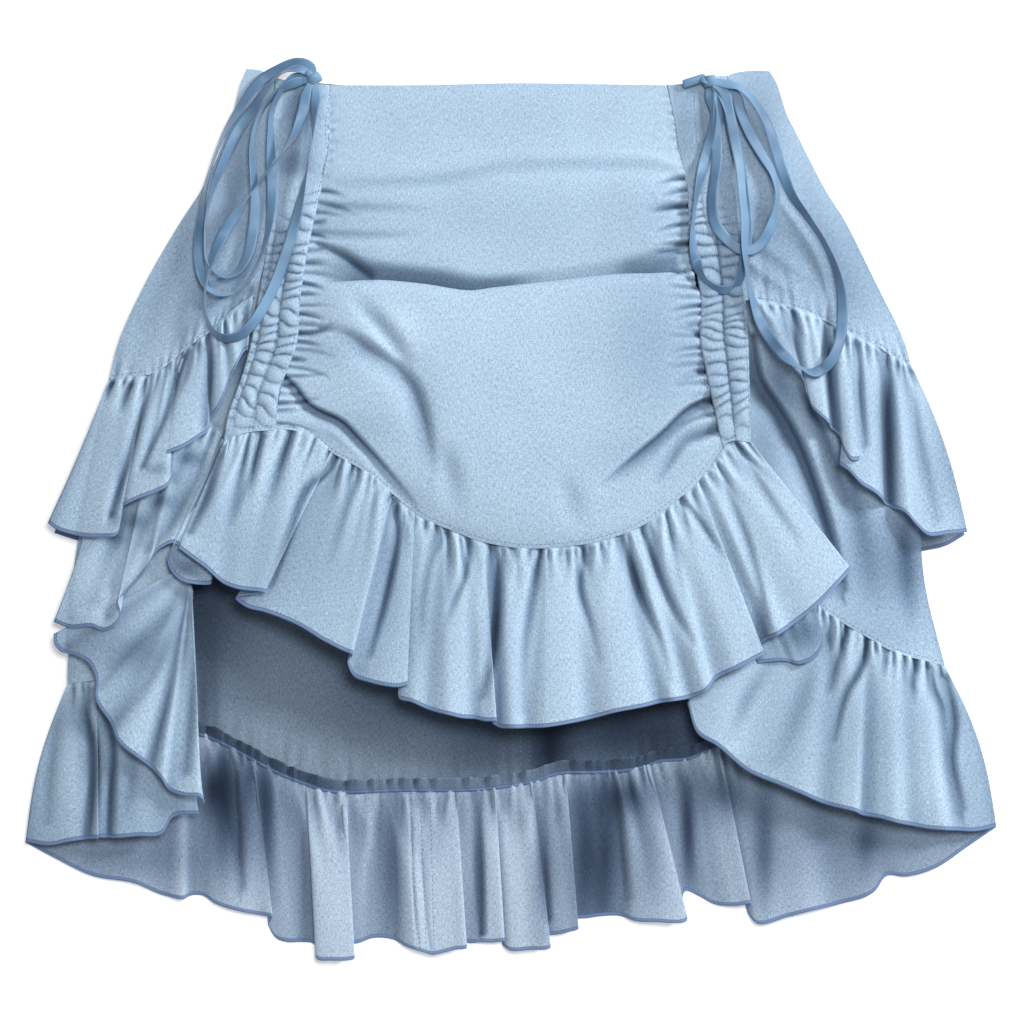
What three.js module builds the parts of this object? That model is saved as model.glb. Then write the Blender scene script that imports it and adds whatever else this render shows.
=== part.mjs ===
// A bustle skirt laid flat on the plane Z = 0, front side up, with its waist towards +Y.
// Millimetres. Left in a name means the side towards -X. Every cloth piece is a closed wall
// over its own outline, and lies on the layers under it.
import * as THREE from "three";

// Driving sizes
const WAIST_FLAT = 340;
const CLOTH = 1.2;
const WAIST_SKEW = 4;
const SEAM_GAP = 0.6;
const SIDE_EASE = 60;
const RIBBON_WIDTH = 7;
const RIBBON_THICK = 1;
const RIBBON_STEP = 15;
const CENTRE_BACK_X = 9;
const ALLOWANCE = 7;
const FRILL_COUNT = 14;
const FRILL_HEIGHT = 1;

// Height of the underside of each layer above the hollow between front and back
const BACK_LEVEL = 3;
const SIDE_LEVEL = 4.6;
const CHANNEL_LEVEL = 5.2;
const TIER_LEVEL = 6.2;
const TIER_RUFFLE_RISE = 3.4;
const SWAG_RISE = 3.6;
const CASCADE_LEVEL = 6.4;
const CASCADE_RISE = 2.6;
const TURN_LEVEL = 9.2;
const FRONT_RISE = 7.8;
const FRONT_LEVEL = CHANNEL_LEVEL + FRONT_RISE;
const RIBBON_LEVEL = 8.6;
const RIBBON_STACK = 1.6;
const RIBBON_HUMP = 6.5;

// How fast a fold of a ruffle rises from its seam: 1 is straight, less is sooner
const FOLD_RISE = 0.8;

// Gathers of the drawstring channels
const PUCKER_COUNT = 20;
const PUCKER_HEIGHT = 0.9;

const CHAMBRAY = { color: 0xa9c3e0, roughness: 0.9, metalness: 0 };
const CHAMBRAY_INSIDE = { color: 0x8c9fb8, roughness: 0.92, metalness: 0 };
const SATIN = { color: 0x7fa3cb, roughness: 0.35, metalness: 0 };

// Rows of numbers become objects with the named columns.
function table(columns, rows) {
  return rows.map((row) => Object.fromEntries(columns.map((name, i) => [name, row[i]])));
}

// Value of one column at a place along another, straight between rows.
function between(rows, key, column, at) {
  const rising = rows[0][key] < rows[rows.length - 1][key];
  const next = rows.findIndex((row) => (rising ? row[key] >= at : row[key] <= at));
  if (next === 0) return rows[0][column];
  if (next < 0) return rows[rows.length - 1][column];
  const a = rows[next - 1];
  const b = rows[next];
  return a[column] + ((b[column] - a[column]) * (at - a[key])) / (b[key] - a[key]);
}

function smooth(from, to, at) {
  return THREE.MathUtils.smoothstep(at, from, to);
}

// Side edges of the body and of the hem ruffles, down the length of the skirt
const BODY_EDGE = table(["y", "left", "right"], [
  [286, -WAIST_FLAT / 2, WAIST_FLAT / 2 - WAIST_SKEW],
  [277, -173.5, 170.5],
  [257, -178.5, 177],
  [246, -182, 182.5],
  [227, -189.5, 192],
  [208, -199, 202],
  [188, -212, 214.5],
  [150, -234, 233.5],
  [112, -251.5, 252],
  [87, -258, 258],
  [0, -276, 263],
  [-46, -283, 267],
  [-98, -285.5, 280],
  [-125, -294, 294],
  [-160, -303, 306],
  [-210, -312, 312],
]);

// How high the front layers stand over the back, at mid width
const PUFF = table(["y", "rise"], [
  [286, 0.8],
  [230, 4],
  [150, 9],
  [50, 13],
  [-60, 15],
  [-150, 13],
  [-215, 9],
]);

function puff(x, y) {
  const toLeft = x - between(BODY_EDGE, "y", "left", y);
  const toRight = between(BODY_EDGE, "y", "right", y) - x;
  const room = Math.min(toLeft, toRight);
  const ease = Math.sin((Math.PI / 2) * THREE.MathUtils.clamp(room / SIDE_EASE, 0, 1));
  return between(PUFF, "y", "rise", y) * ease;
}

// A soft curve through points of the plane
function curve(points) {
  const stops = points.map(([x, y]) => new THREE.Vector3(x, y, 0));
  return new THREE.CatmullRomCurve3(stops, false, "centripetal");
}

// The same curve as a line that is walked evenly from 0 to 1
function line(points) {
  const path = curve(points);
  return (t) => path.getPointAt(THREE.MathUtils.clamp(t, 0, 1));
}

// The side edge of the body between two heights, moved in from the silhouette
function bodyEdge(side, top, bottom, inset) {
  const inward = side === "left" ? inset : -inset;
  const heights = BODY_EDGE.map((row) => row.y).filter((y) => y < top - 4 && y > bottom + 4);
  return [top, ...heights, bottom].map((y) => [between(BODY_EDGE, "y", side, y) + inward, y]);
}

// The patch of cloth between four edge lines: top and bottom run to +X, left and right run down
function patch(top, bottom, left, right) {
  return (u, v) => {
    const shares = [
      [top(u), 1 - v],
      [bottom(u), v],
      [left(v), 1 - u],
      [right(v), u],
      [top(0), -(1 - u) * (1 - v)],
      [top(1), -u * (1 - v)],
      [bottom(0), -(1 - u) * v],
      [bottom(1), -u * v],
    ];
    return shares.reduce((sum, [point, share]) => sum.addScaledVector(point, share), new THREE.Vector3());
  };
}

// A closed wall: a thin box whose grid of points is laid over the piece
function clothWall(name, finish, across, down, place, thickness = CLOTH) {
  const wall = new THREE.BoxGeometry(1, 1, 1, across, down, 1);
  const points = wall.attributes.position;
  const corner = new THREE.Vector3();
  for (let i = 0; i < points.count; i += 1) {
    corner.fromBufferAttribute(points, i);
    const spot = place(corner.x + 0.5, 0.5 - corner.y);
    points.setXYZ(i, spot.x, spot.y, spot.z + (corner.z > 0 ? thickness : 0));
  }
  wall.computeVertexNormals();
  const mesh = new THREE.Mesh(wall, new THREE.MeshStandardMaterial(finish));
  mesh.name = name;
  return mesh;
}

// A flat panel between four lines, at the height that its layer gives. The side lines end at the
// corners that the top and bottom lines give.
function panel(name, finish, across, down, [top, bottom, left, right], height) {
  const leftSide = [top[0], ...left.slice(1, -1), bottom[0]];
  const rightSide = [top[top.length - 1], ...right.slice(1, -1), bottom[bottom.length - 1]];
  const flat = patch(line(top), line(bottom), line(leftSide), line(rightSide));
  return clothWall(name, finish, across, down, (u, v) => {
    const { x, y } = flat(u, v);
    return { x, y, z: height(x, y, u, v) };
  });
}

// Where a seam that runs to +X passes a given X
function seamAt(seam, x) {
  const whole = line(seam);
  let low = 0;
  let high = 1;
  for (let i = 0; i < 20; i += 1) {
    const middle = (low + high) / 2;
    if (whole(middle).x < x) low = middle;
    else high = middle;
  }
  return whole(low);
}

// A ruffle: one row for each fold line, from the seam to the hem, and its height at the hem
const FOLD = ["seamX", "hemX", "hemY", "lift", "bow"];

function ruffle(name, finish, down, seam, folds, height) {
  const rows = table(FOLD, folds).map((row) => ({ ...row, start: seamAt(seam, row.seamX) }));
  return clothWall(name, finish, rows.length - 1, down, (u, v) => {
    const row = rows[Math.round(u * (rows.length - 1))];
    const runX = row.hemX - row.start.x;
    const runY = row.hemY - row.start.y;
    const run = Math.hypot(runX, runY);
    const along = (SEAM_GAP + v * (run - SEAM_GAP)) / run;
    const bow = (row.bow ?? 0) * Math.sin(Math.PI * v);
    const x = row.start.x + runX * along - (runY / run) * bow;
    const y = row.start.y + runY * along + (runX / run) * bow;
    return { x, y, z: height(x, y, v) + row.lift * v ** FOLD_RISE };
  });
}

const skirt = new THREE.Group();

// The back of the upper tier lies on the table, its ruffle beside it.
const TIER_BACK_LEFT = [-256.5, 87];
const TIER_BACK_MIDDLE = [0, 72];
const TIER_BACK_RIGHT = [256, 95];
skirt.add(panel("back_overskirt", CHAMBRAY_INSIDE, 10, 6, [
  [[-168, 281], [0, 270], [164, 281]],
  [TIER_BACK_LEFT, TIER_BACK_MIDDLE, TIER_BACK_RIGHT],
  bodyEdge("left", 281, 87, 1.5),
  bodyEdge("right", 281, 95, 1.5),
], () => 0));

const TIER_BACK_SEAM = [TIER_BACK_LEFT, TIER_BACK_MIDDLE, TIER_BACK_RIGHT];
skirt.add(ruffle("back_upper_ruffle", CHAMBRAY_INSIDE, 2, TIER_BACK_SEAM, [
  [-257, -294, -12, 0],
  [-240, -278, -17, 0.6],
  [-200, -230, -22, 0],
  [-150, -170, -26, 0.8],
  [-95, -105, -29, 0],
  [-40, -40, -30, 0.8],
  [20, 25, -30, 0],
  [80, 90, -29, 0.8],
  [140, 155, -27, 0],
  [200, 220, -25, 0.8],
  [235, 265, -23, 0],
  [248, 281, -20, 0.6],
  [256, 291.5, -14, 0],
], () => 0));

// The back body, in two halves with a seam at the centre back
const BACK_SEAM = [
  [-284, -108], [-244, -119], [-202, -136.5], [-173, -147.5], [-135, -168.5], [-116, -176],
  [-71, -177.5], [-7, -173], [38, -165], [83, -160], [121, -151], [185, -128], [249, -106],
  [278.5, -98],
];

// The stretch of a seam between two values of X, a seam gap above it
function seamPart(seam, fromX, toX) {
  const start = seamAt(seam, fromX);
  const end = seamAt(seam, toX);
  const inner = seam.filter(([x]) => x > fromX + 6 && x < toX - 6);
  return [[start.x, start.y], ...inner, [end.x, end.y]].map(([x, y]) => [x, y + SEAM_GAP]);
}

function backHeight(x, y) {
  return BACK_LEVEL * smooth(-95, -50, y);
}

const backLeftSeam = seamPart(BACK_SEAM, -284, CENTRE_BACK_X);
const backRightSeam = seamPart(BACK_SEAM, CENTRE_BACK_X, 278.5);
const centreBackY = backLeftSeam[backLeftSeam.length - 1][1];
skirt.add(panel("back_panel_left", CHAMBRAY_INSIDE, 12, 10, [
  [[-167, 282], [-80, 274], [CENTRE_BACK_X - SEAM_GAP, 271]],
  [...backLeftSeam.slice(0, -1), [CENTRE_BACK_X - SEAM_GAP, centreBackY]],
  bodyEdge("left", 282, -108, 2.5),
  [[CENTRE_BACK_X - SEAM_GAP, 271], [CENTRE_BACK_X - SEAM_GAP, centreBackY]],
], backHeight));
skirt.add(panel("back_panel_right", CHAMBRAY_INSIDE, 12, 10, [
  [[CENTRE_BACK_X, 271], [85, 274], [163, 282]],
  [[CENTRE_BACK_X, centreBackY], ...backRightSeam.slice(1)],
  [[CENTRE_BACK_X, 271], [CENTRE_BACK_X, centreBackY]],
  bodyEdge("right", 282, -98, 2.5),
], backHeight));

// The back ruffle in two lengths, joined left of the middle
skirt.add(ruffle("back_ruffle_left", CHAMBRAY_INSIDE, 3, BACK_SEAM, [
  [-284, -312, -211, 0, -4],
  [-270, -292, -222, 1],
  [-255, -270, -232, 1.5],
  [-235, -241, -239, 2],
  [-214, -207, -246, 0],
  [-196, -190, -254.5, 4],
  [-178, -158, -257.5, 3],
  [-165, -152, -272, 5],
  [-150, -137, -275, 0],
  [-133, -127, -276, 0],
  [-128, -122, -285, 7],
  [-116, -112, -285.4, 6.5],
  [-98, -101, -285.5, 6],
  [-85, -96, -275, 0],
  [-76, -75, -273.5, 0],
  [-66, -58, -281, 5],
  [-52.6, -50.6, -282.5, 5],
], () => 0));
skirt.add(ruffle("back_ruffle_right", CHAMBRAY_INSIDE, 3, BACK_SEAM, [
  [-52, -50, -282.5, 5],
  [-36, -29, -279, 6],
  [-30, -26.5, -276, 0],
  [-18, -12, -275, 3],
  [-10, -4, -275, 0],
  [-5, -1, -279, 6],
  [13, 24, -278, 6],
  [20, 30, -270, 3],
  [33, 43, -266, 4],
  [38, 48, -260.5, 0],
  [58, 70, -259, 0],
  [66, 82, -261.5, 4],
  [95, 113, -260, 6],
  [103, 117, -243, 0],
  [118, 135, -251, 2],
  [148, 151, -252, 5],
  [155, 156, -262, 3],
  [185, 191, -255, 4],
  [200, 212, -250, 1],
  [220, 233, -243, 2],
  [235, 251, -232, 1],
  [252, 272, -227, 1.5],
  [268, 293, -215, 0.5],
  [278.4, 312, -201, 0, 5],
], () => 0));

// The frilled allowance of that seam stands on the back body.
const backSeamLine = line(BACK_SEAM);
skirt.add(clothWall("back_seam_allowance", CHAMBRAY_INSIDE, 4 * FRILL_COUNT, 2, (u, v) => {
  const spot = backSeamLine(u);
  const frill = (1 + Math.sin(u * Math.PI * 2 * FRILL_COUNT)) / 2;
  const up = 1 - v;
  return {
    x: spot.x,
    y: spot.y + ALLOWANCE * up - SEAM_GAP,
    z: CLOTH + SEAM_GAP + FRILL_HEIGHT * frill * up,
  };
}));

// The drawstring channels: the line beside the front, and the line beside the side pieces
const CHANNEL_LEFT_INNER = [
  [-117, 275.5], [-117, 233], [-123, 204.5], [-129.5, 175.5], [-135.5, 137.5], [-137.5, 108.5],
  [-144, 91], [-148, 79.5], [-150.5, 55.5],
];
const CHANNEL_LEFT_OUTER = [
  [-151, 280.5], [-153, 239.5], [-153, 201], [-157, 163], [-162.5, 131], [-166, 108.5],
  [-172, 86], [-180, 63.5], [-183, 47.5],
];
const CHANNEL_RIGHT_INNER = [
  [100.5, 275.5], [104.5, 252.5], [108, 230], [113.5, 207.5], [114.5, 179], [119, 156.5],
  [122, 137.5], [121.5, 111.5], [125, 92.5], [130.5, 67], [135, 44.5],
];
const CHANNEL_RIGHT_OUTER = [
  [139, 282], [142, 239.5], [147, 201], [149, 143.5], [151, 111.5], [151.5, 79.5], [152, 48],
];
const FRONT_SEAM = [
  [-150, 55.5], [-135, 54.5], [-119, 47.5], [-100, 34], [-80.5, 19.5], [-68.5, 6], [-52, -2],
  [-25.5, -15], [-4, -20], [30, -21], [57, -17], [83, -6.5], [102, 6], [119, 21.5], [134.5, 44],
];

function moved(points, dx) {
  return points.map(([x, y]) => [x + dx, y]);
}

function channelHeight(x, y, u, v) {
  const pucker = PUCKER_HEIGHT * Math.sin(Math.PI * PUCKER_COUNT * v) ** 2 * smooth(0.1, 0.4, v);
  return puff(x, y) + CHANNEL_LEVEL + FRONT_RISE * smooth(0.5, 1, v) + pucker * Math.sin(Math.PI * u);
}

skirt.add(panel("channel_left", CHAMBRAY, 3, 40, [
  [[-151, 280.5], [-141, 278], [-117, 275.5]],
  [[-183, 47.5], [-169.5, 53.5], [-150.5, 55.5]],
  CHANNEL_LEFT_OUTER,
  CHANNEL_LEFT_INNER,
], channelHeight));
skirt.add(panel("channel_right", CHAMBRAY, 3, 40, [
  [[100.5, 275.5], [114.5, 277], [124, 280], [139, 282]],
  [[135, 44.5], [140, 49], [152, 48]],
  CHANNEL_RIGHT_INNER,
  CHANNEL_RIGHT_OUTER,
], channelHeight));

// The centre front: its bulges down the middle, one row for each crest and crease
const FRONT_BULGE = table(["y", "lift"], [
  [277, 0],
  [255, 2],
  [232, 3.5],
  [223, 2],
  [214, 5],
  [185, 9],
  [165, 8.5],
  [150, 3],
  [142, 9],
  [120, 14],
  [70, 17],
  [25, 15],
  [-2, 11.5],
  [-21, FRONT_RISE],
]);

function frontHeight(x, y, u, v) {
  const side = FRONT_RISE * smooth(0.5, 1, v);
  const middle = between(FRONT_BULGE, "y", "lift", y);
  const share = Math.sin(Math.PI * u) ** 0.7 * (1 - smooth(0.9, 1, v));
  return puff(x, y) + CHANNEL_LEVEL + side + (middle - side) * share;
}

skirt.add(panel("front_panel", CHAMBRAY, 18, 22, [
  [[-116.6, 275.5], [-71, 275.5], [0.5, 277], [57, 276], [100.1, 275.5]],
  FRONT_SEAM,
  moved(CHANNEL_LEFT_INNER, SEAM_GAP),
  moved(CHANNEL_RIGHT_INNER, -SEAM_GAP),
], frontHeight));

const FRONT_RUFFLE_SEAM = [
  [-183, 47],
  [-170, 53],
  ...FRONT_SEAM.map(([x, y]) => [x, y - SEAM_GAP / 3]),
  [140, 48],
  [152, 47.5],
];
skirt.add(ruffle("front_ruffle", CHAMBRAY, 4, FRONT_RUFFLE_SEAM, [
  [-183.5, -209.5, -22, 5],
  [-166, -189.5, -40, 6],
  [-135, -167, -47.5, 6],
  [-114, -156, -49.5, 8],
  [-110.5, -151, -55.5, 1],
  [-95.5, -119, -80, 5],
  [-75, -91.5, -94.5, 9],
  [-71.5, -88, -107, 1],
  [-58, -68.5, -112, 5],
  [-45.5, -52, -124.5, 2],
  [-27.5, -26, -129.5, 5],
  [-11, -9, -133, 1],
  [-3, -0.5, -136, 6],
  [18.5, 12, -136, 3],
  [28, 31.5, -134.5, 6],
  [45.5, 52, -130, 2],
  [60, 73, -124.5, 7],
  [72.5, 95.5, -120, 2],
  [84.5, 114.5, -117, 4],
  [95.5, 128.5, -110, 7],
  [108, 143.5, -98, 5],
  [119, 160.5, -87.5, 3],
  [124.5, 164.5, -80, 7],
  [135, 194.5, -58, 5],
  [143.5, 207.5, -45, 5],
  [152, 217, -35, 3],
], (x, y) => puff(x, y) + FRONT_LEVEL));

// The lower body at the sides, under the upper tier
const SIDE_LEFT_HEM = [
  [-284.5, -108.5], [-267, -106], [-242, -98], [-223, -80], [-208, -48], [-198, -10],
  [-190.5, 20], [-183.6, 47],
];
const SIDE_RIGHT_HEM = [
  [152.5, 47], [162.5, 15.5], [175.5, -16], [185, -38.5], [198, -59], [214, -70.5], [232, -81],
  [244, -87.5], [260, -92.5], [278.5, -97],
];

function sideHeight(x, y) {
  return puff(x, y) + SIDE_LEVEL;
}

skirt.add(panel("side_panel_left", CHAMBRAY, 6, 9, [
  [[-166, 283], [-158, 281], [-151.5, 280]],
  SIDE_LEFT_HEM,
  bodyEdge("left", 283, -108.5, 1),
  moved(CHANNEL_LEFT_OUTER, -SEAM_GAP),
], sideHeight));
skirt.add(panel("side_panel_right", CHAMBRAY, 6, 9, [
  [[139.5, 281.5], [152, 283], [162, 283.5]],
  SIDE_RIGHT_HEM,
  moved(CHANNEL_RIGHT_OUTER, SEAM_GAP),
  bodyEdge("right", 283.5, -97, 1),
], sideHeight));

// The upper tier at the sides and its ruffles
const TIER_LEFT_SEAM = [
  [-258, 86.5], [-245.5, 88], [-228.5, 90.5], [-219, 96.5], [-210, 104], [-201.5, 110.5],
  [-193.5, 116], [-180, 129], [-163.5, 139.5],
];
const TIER_RIGHT_SEAM = [
  [150, 137], [159.5, 136], [172, 134], [187.5, 129.5], [214, 117.5], [234, 108], [246.5, 100],
  [257, 95],
];

function upTo(points, lowest, last) {
  return [...points.filter(([, y]) => y > lowest + 4), last];
}

function tierHeight(x, y) {
  return puff(x, y) + TIER_LEVEL;
}

skirt.add(panel("overskirt_left", CHAMBRAY, 6, 7, [
  [[-170, 286], [-163, 285.5], [-159.5, 284.5], [-151.5, 281]],
  TIER_LEFT_SEAM,
  bodyEdge("left", 286, 86.5, 0),
  upTo(moved(CHANNEL_LEFT_OUTER, -SEAM_GAP), 139.5, [-163.5, 139.5]),
], tierHeight));
skirt.add(panel("overskirt_right", CHAMBRAY, 6, 7, [
  [[139.5, 282], [146.5, 284], [162.5, 285], [166, 284.5]],
  TIER_RIGHT_SEAM,
  upTo(moved(CHANNEL_RIGHT_OUTER, SEAM_GAP), 137, [150, 137]),
  bodyEdge("right", 284.5, 95, 0),
], tierHeight));

function tierRuffleHeight(x, y, v) {
  return puff(x, y) + TIER_LEVEL + TIER_RUFFLE_RISE * smooth(0, 0.5, v);
}

skirt.add(ruffle("upper_ruffle_left", CHAMBRAY, 4, TIER_LEFT_SEAM, [
  [-258, -297, -6, 0.5, 1],
  [-251.5, -287.5, -12, 4],
  [-244, -272.5, -14.5, 6],
  [-231, -260, -14, 5],
  [-227.5, -255.5, -6, 0.5],
  [-223.5, -244, 6, 4],
  [-218.5, -234, 12, 6],
  [-213, -219, 20, 3],
  [-208.5, -214.5, 30, 5],
  [-201.5, -207.5, 42, 6],
  [-193.5, -198, 51.5, 5],
  [-186, -191, 60, 3],
  [-180, -183, 80, 4],
  [-173, -175.5, 95, 1],
  [-164.5, -169.5, 104, 2],
], tierRuffleHeight));
skirt.add(ruffle("upper_ruffle_right", CHAMBRAY, 4, TIER_RIGHT_SEAM, [
  [152.5, 155, 126, 1],
  [159.5, 169, 105.5, 2],
  [172, 187, 85, 4],
  [180, 192.5, 68, 2],
  [194.5, 203, 58, 5],
  [203.5, 209.5, 51.5, 0.5],
  [213.5, 217, 28.5, 5],
  [222, 231, 14.5, 3],
  [231, 236.5, 9.5, 6],
  [242.5, 242.5, 4, 0.5],
  [246, 252, 1.5, 6],
  [251, 265, -12.5, 7],
  [257, 292.5, -11, 1, 4],
], tierRuffleHeight));

// The hem ruffle on the left: a swag, a fan-shaped cascade, and the length at the side
const SWAG_SEAM = [[-264, 47], [-237, 57.5], [-208, 61.5], [-192, 57], [-184, 51.5]];
const CASCADE_SEAM = [[-212, -35], [-207, -45], [-201, -56]];
const TURN_SEAM = [[149, -81], [175.5, -67.5], [193, -58]];
skirt.add(ruffle("swag_left", CHAMBRAY, 4, SWAG_SEAM, [
  [-263, -285, -69, 0],
  [-250, -270, -72, 2],
  [-237.5, -258.5, -74.5, 1],
  [-228, -249, -64.5, 3],
  [-218, -246.5, -54.5, 4],
  [-208.5, -237.5, -40.5, 3],
  [-199, -230, -29, 5],
  [-192, -221.5, -21.5, 3],
  [-184.5, -210.5, -22, 4],
], (x, y, v) => puff(x, y) + TIER_LEVEL + SWAG_RISE * smooth(0.3, 1, v)));
skirt.add(ruffle("cascade_left", CHAMBRAY, 4, CASCADE_SEAM, [
  [-211, -293, -76, 0],
  [-210, -289.5, -87.5, 1],
  [-209, -271.5, -94.5, 1],
  [-208, -264.5, -119.5, 3],
  [-207, -255.5, -133, 1],
  [-206, -251, -144.5, 4],
  [-205, -236, -156.5, 2],
  [-204, -223.5, -168, 4],
  [-203, -217, -176.5, 2],
  [-202, -195, -184, 4, -5],
], (x, y, v) => puff(x, y) + CASCADE_LEVEL + CASCADE_RISE * smooth(0.5, 1, v)));
skirt.add(ruffle("lower_ruffle_left", CHAMBRAY, 3, SIDE_LEFT_HEM, [
  [-284.4, -311.5, -210, 0, -5],
  [-281.5, -295, -212, 1],
  [-276, -272.5, -208.5, 1],
  [-270.5, -267.5, -207.5, 0],
  [-265, -258, -207, 0],
  [-260, -254.5, -207, 1],
  [-248, -239, -207, 0.5],
  [-235.5, -223.5, -205, 1],
  [-226, -217, -194, 0.5],
  [-218, -199.5, -191, 0],
], sideHeight));

// The hem ruffle on the right, and the loop where it turns under the front ruffle
skirt.add(ruffle("lower_ruffle_right", CHAMBRAY, 4, SIDE_RIGHT_HEM, [
  [161, 112.5, -120.5, 2],
  [171, 119, -140, 3],
  [179, 131, -147.5, 5],
  [187, 152.5, -165, 2],
  [193, 181, -178, 4],
  [204, 201, -185.5, 2],
  [215, 214, -189, 5],
  [228.5, 224.5, -192.5, 1],
  [239.5, 246, -197, 4],
  [252, 262, -200, 1],
  [262, 278, -202, 2],
  [271.5, 295, -202.5, 1],
  [278.4, 311.5, -200.5, 0, 6],
], sideHeight));
skirt.add(ruffle("ruffle_turn_right", CHAMBRAY, 2, TURN_SEAM, [
  [150, 157, -95.5, 0],
  [162.5, 175.5, -94, 0],
  [175.5, 183.5, -96.5, 0],
  [185, 192.5, -92.5, 0],
  [192.5, 199.5, -84, 0],
], (x, y) => puff(x, y) + TURN_LEVEL));

// The drawstrings: a knot at each channel and three loops, laid over one another
const LOOPS = [
  { name: "ribbon_left_loop_outer", tier: 0, points: [
    [-127.5, 286.5], [-137, 289.5], [-150, 284.5], [-161, 277.5], [-174, 263], [-184, 248],
    [-191.5, 232.5], [-197, 212], [-200, 190], [-200.5, 172], [-198.5, 156], [-194, 145.5],
    [-185, 140.5], [-176, 142], [-167.5, 150], [-160, 164], [-155, 182], [-153, 202],
    [-153.5, 222], [-154, 243], [-153, 259], [-147, 271.5], [-138, 280],
  ] },
  { name: "ribbon_left_loop_middle", tier: 1, points: [
    [-134, 285], [-145, 283.5], [-155, 275], [-167, 257.5], [-175, 246], [-181, 233],
    [-187, 219], [-191.5, 207], [-194.5, 195], [-196, 179], [-194, 162], [-184, 152.5],
    [-175.5, 154.5], [-168.5, 165], [-165, 182], [-163.5, 201], [-165, 219], [-166, 233],
    [-164, 248], [-158, 261.5], [-149, 271], [-137.5, 277],
  ] },
  { name: "ribbon_left_loop_long", tier: 2, points: [
    [-125, 271.5], [-125.5, 259], [-126.5, 243], [-129, 227], [-133, 207.5], [-137.5, 188.5],
    [-143, 169], [-149.5, 150], [-157, 134], [-165, 121.5], [-173.5, 114], [-182.5, 112.5],
    [-190, 117], [-194.5, 127], [-195.5, 138], [-194, 150], [-190, 166], [-184, 179],
    [-175, 193], [-165.5, 206.5], [-156, 219], [-146.5, 231], [-138.5, 243.5], [-133.5, 257],
    [-131, 270],
  ] },
  { name: "ribbon_right_loop_inner", tier: 0, points: [
    [127, 269], [130, 257], [128, 243], [124.5, 229], [120, 211], [117, 193], [116, 177],
    [118, 163], [122.5, 152], [128, 146], [134.5, 143.5], [142, 145], [147.5, 155], [150, 169],
    [151, 185], [150, 201], [148, 217], [144.5, 233], [141, 249], [137, 262], [134, 270.5],
  ] },
  { name: "ribbon_right_loop_middle", tier: 1, points: [
    [132, 271], [132.5, 259], [131.5, 243], [131.5, 225], [129, 208], [128.5, 196], [131, 185],
    [138, 176], [147, 169.5], [156, 170], [163, 178], [168, 190], [170.5, 205], [168, 218],
    [161, 230], [153, 244], [147.5, 257], [143, 269],
  ] },
  { name: "ribbon_right_loop_outer", tier: 2, points: [
    [135.5, 276], [146, 273.5], [156, 264], [163.5, 251], [169, 235], [174, 219], [180, 204],
    [189, 191], [199, 176], [206.5, 160], [211, 143], [211.5, 127], [209.5, 111], [203, 97],
    [194, 90.5], [183, 94], [172.5, 103], [161, 119], [154.5, 136], [151, 152], [149, 170],
    [149.5, 188], [148, 206], [146, 225], [142.5, 243], [139, 260], [136.5, 270],
  ] },
];

function ribbonHeight(x, y) {
  return puff(x, Math.min(y, 284)) + RIBBON_LEVEL + RIBBON_HUMP * smooth(0, 50, 140 - y);
}

// A flat ribbon lies along its loop, its two edges on the cloth under it.
function ribbon({ name, tier, points }) {
  const route = curve(points);
  const steps = Math.round(route.getLength() / RIBBON_STEP);
  return clothWall(name, SATIN, 2, steps, (u, v) => {
    const spot = route.getPointAt(v);
    const way = route.getTangentAt(v);
    const side = (u - 0.5) * RIBBON_WIDTH;
    const x = spot.x - way.y * side;
    const y = spot.y + way.x * side;
    return { x, y, z: ribbonHeight(x, y) + tier * RIBBON_STACK };
  }, RIBBON_THICK);
}

LOOPS.forEach((loop) => skirt.add(ribbon(loop)));

const KNOTS = table(["name", "x", "y", "halfX", "halfY", "halfZ", "z"], [
  ["ribbon_left_knot", -126, 279, 6, 4.6, 3, 11.2],
  ["ribbon_right_knot", 125.5, 277.5, 8, 4.8, 3, 10.6],
]);

KNOTS.forEach((knot) => {
  const ball = new THREE.SphereGeometry(1, 12, 8);
  ball.scale(knot.halfX, knot.halfY, knot.halfZ);
  const mesh = new THREE.Mesh(ball, new THREE.MeshStandardMaterial(SATIN));
  mesh.name = knot.name;
  mesh.position.set(knot.x, knot.y, knot.z);
  skirt.add(mesh);
});

export default skirt;
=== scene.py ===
# %% [markdown]
# # A bustle skirt, laid flat
# The real skirt is light cotton chambray: a body that is longer behind than in front, a shorter
# upper tier over its sides, and gathered ruffles along every hem. Two drawstring casings pull the
# front up into pouches. It lies on its back on a pale surface, and the camera looks straight down.
# The pieces here stand in for solids of the CAD frame and hide them, so the first step loads
# that frame.

import bmesh
import bpy
import numpy as np
from mathutils import Matrix, Vector
from mathutils.bvhtree import BVHTree


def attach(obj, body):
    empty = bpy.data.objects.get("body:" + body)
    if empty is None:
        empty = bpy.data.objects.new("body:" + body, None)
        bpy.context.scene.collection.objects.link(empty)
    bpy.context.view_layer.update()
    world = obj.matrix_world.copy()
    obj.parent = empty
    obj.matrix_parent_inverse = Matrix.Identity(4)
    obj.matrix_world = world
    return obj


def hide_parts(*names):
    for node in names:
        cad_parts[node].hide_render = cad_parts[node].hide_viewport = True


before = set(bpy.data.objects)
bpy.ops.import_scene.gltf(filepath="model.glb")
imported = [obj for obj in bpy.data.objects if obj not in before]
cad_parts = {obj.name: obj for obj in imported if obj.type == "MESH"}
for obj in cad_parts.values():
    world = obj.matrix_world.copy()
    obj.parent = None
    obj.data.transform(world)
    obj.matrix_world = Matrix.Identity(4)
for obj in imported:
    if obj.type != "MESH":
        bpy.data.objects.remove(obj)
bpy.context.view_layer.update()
MM = 0.001

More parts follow.
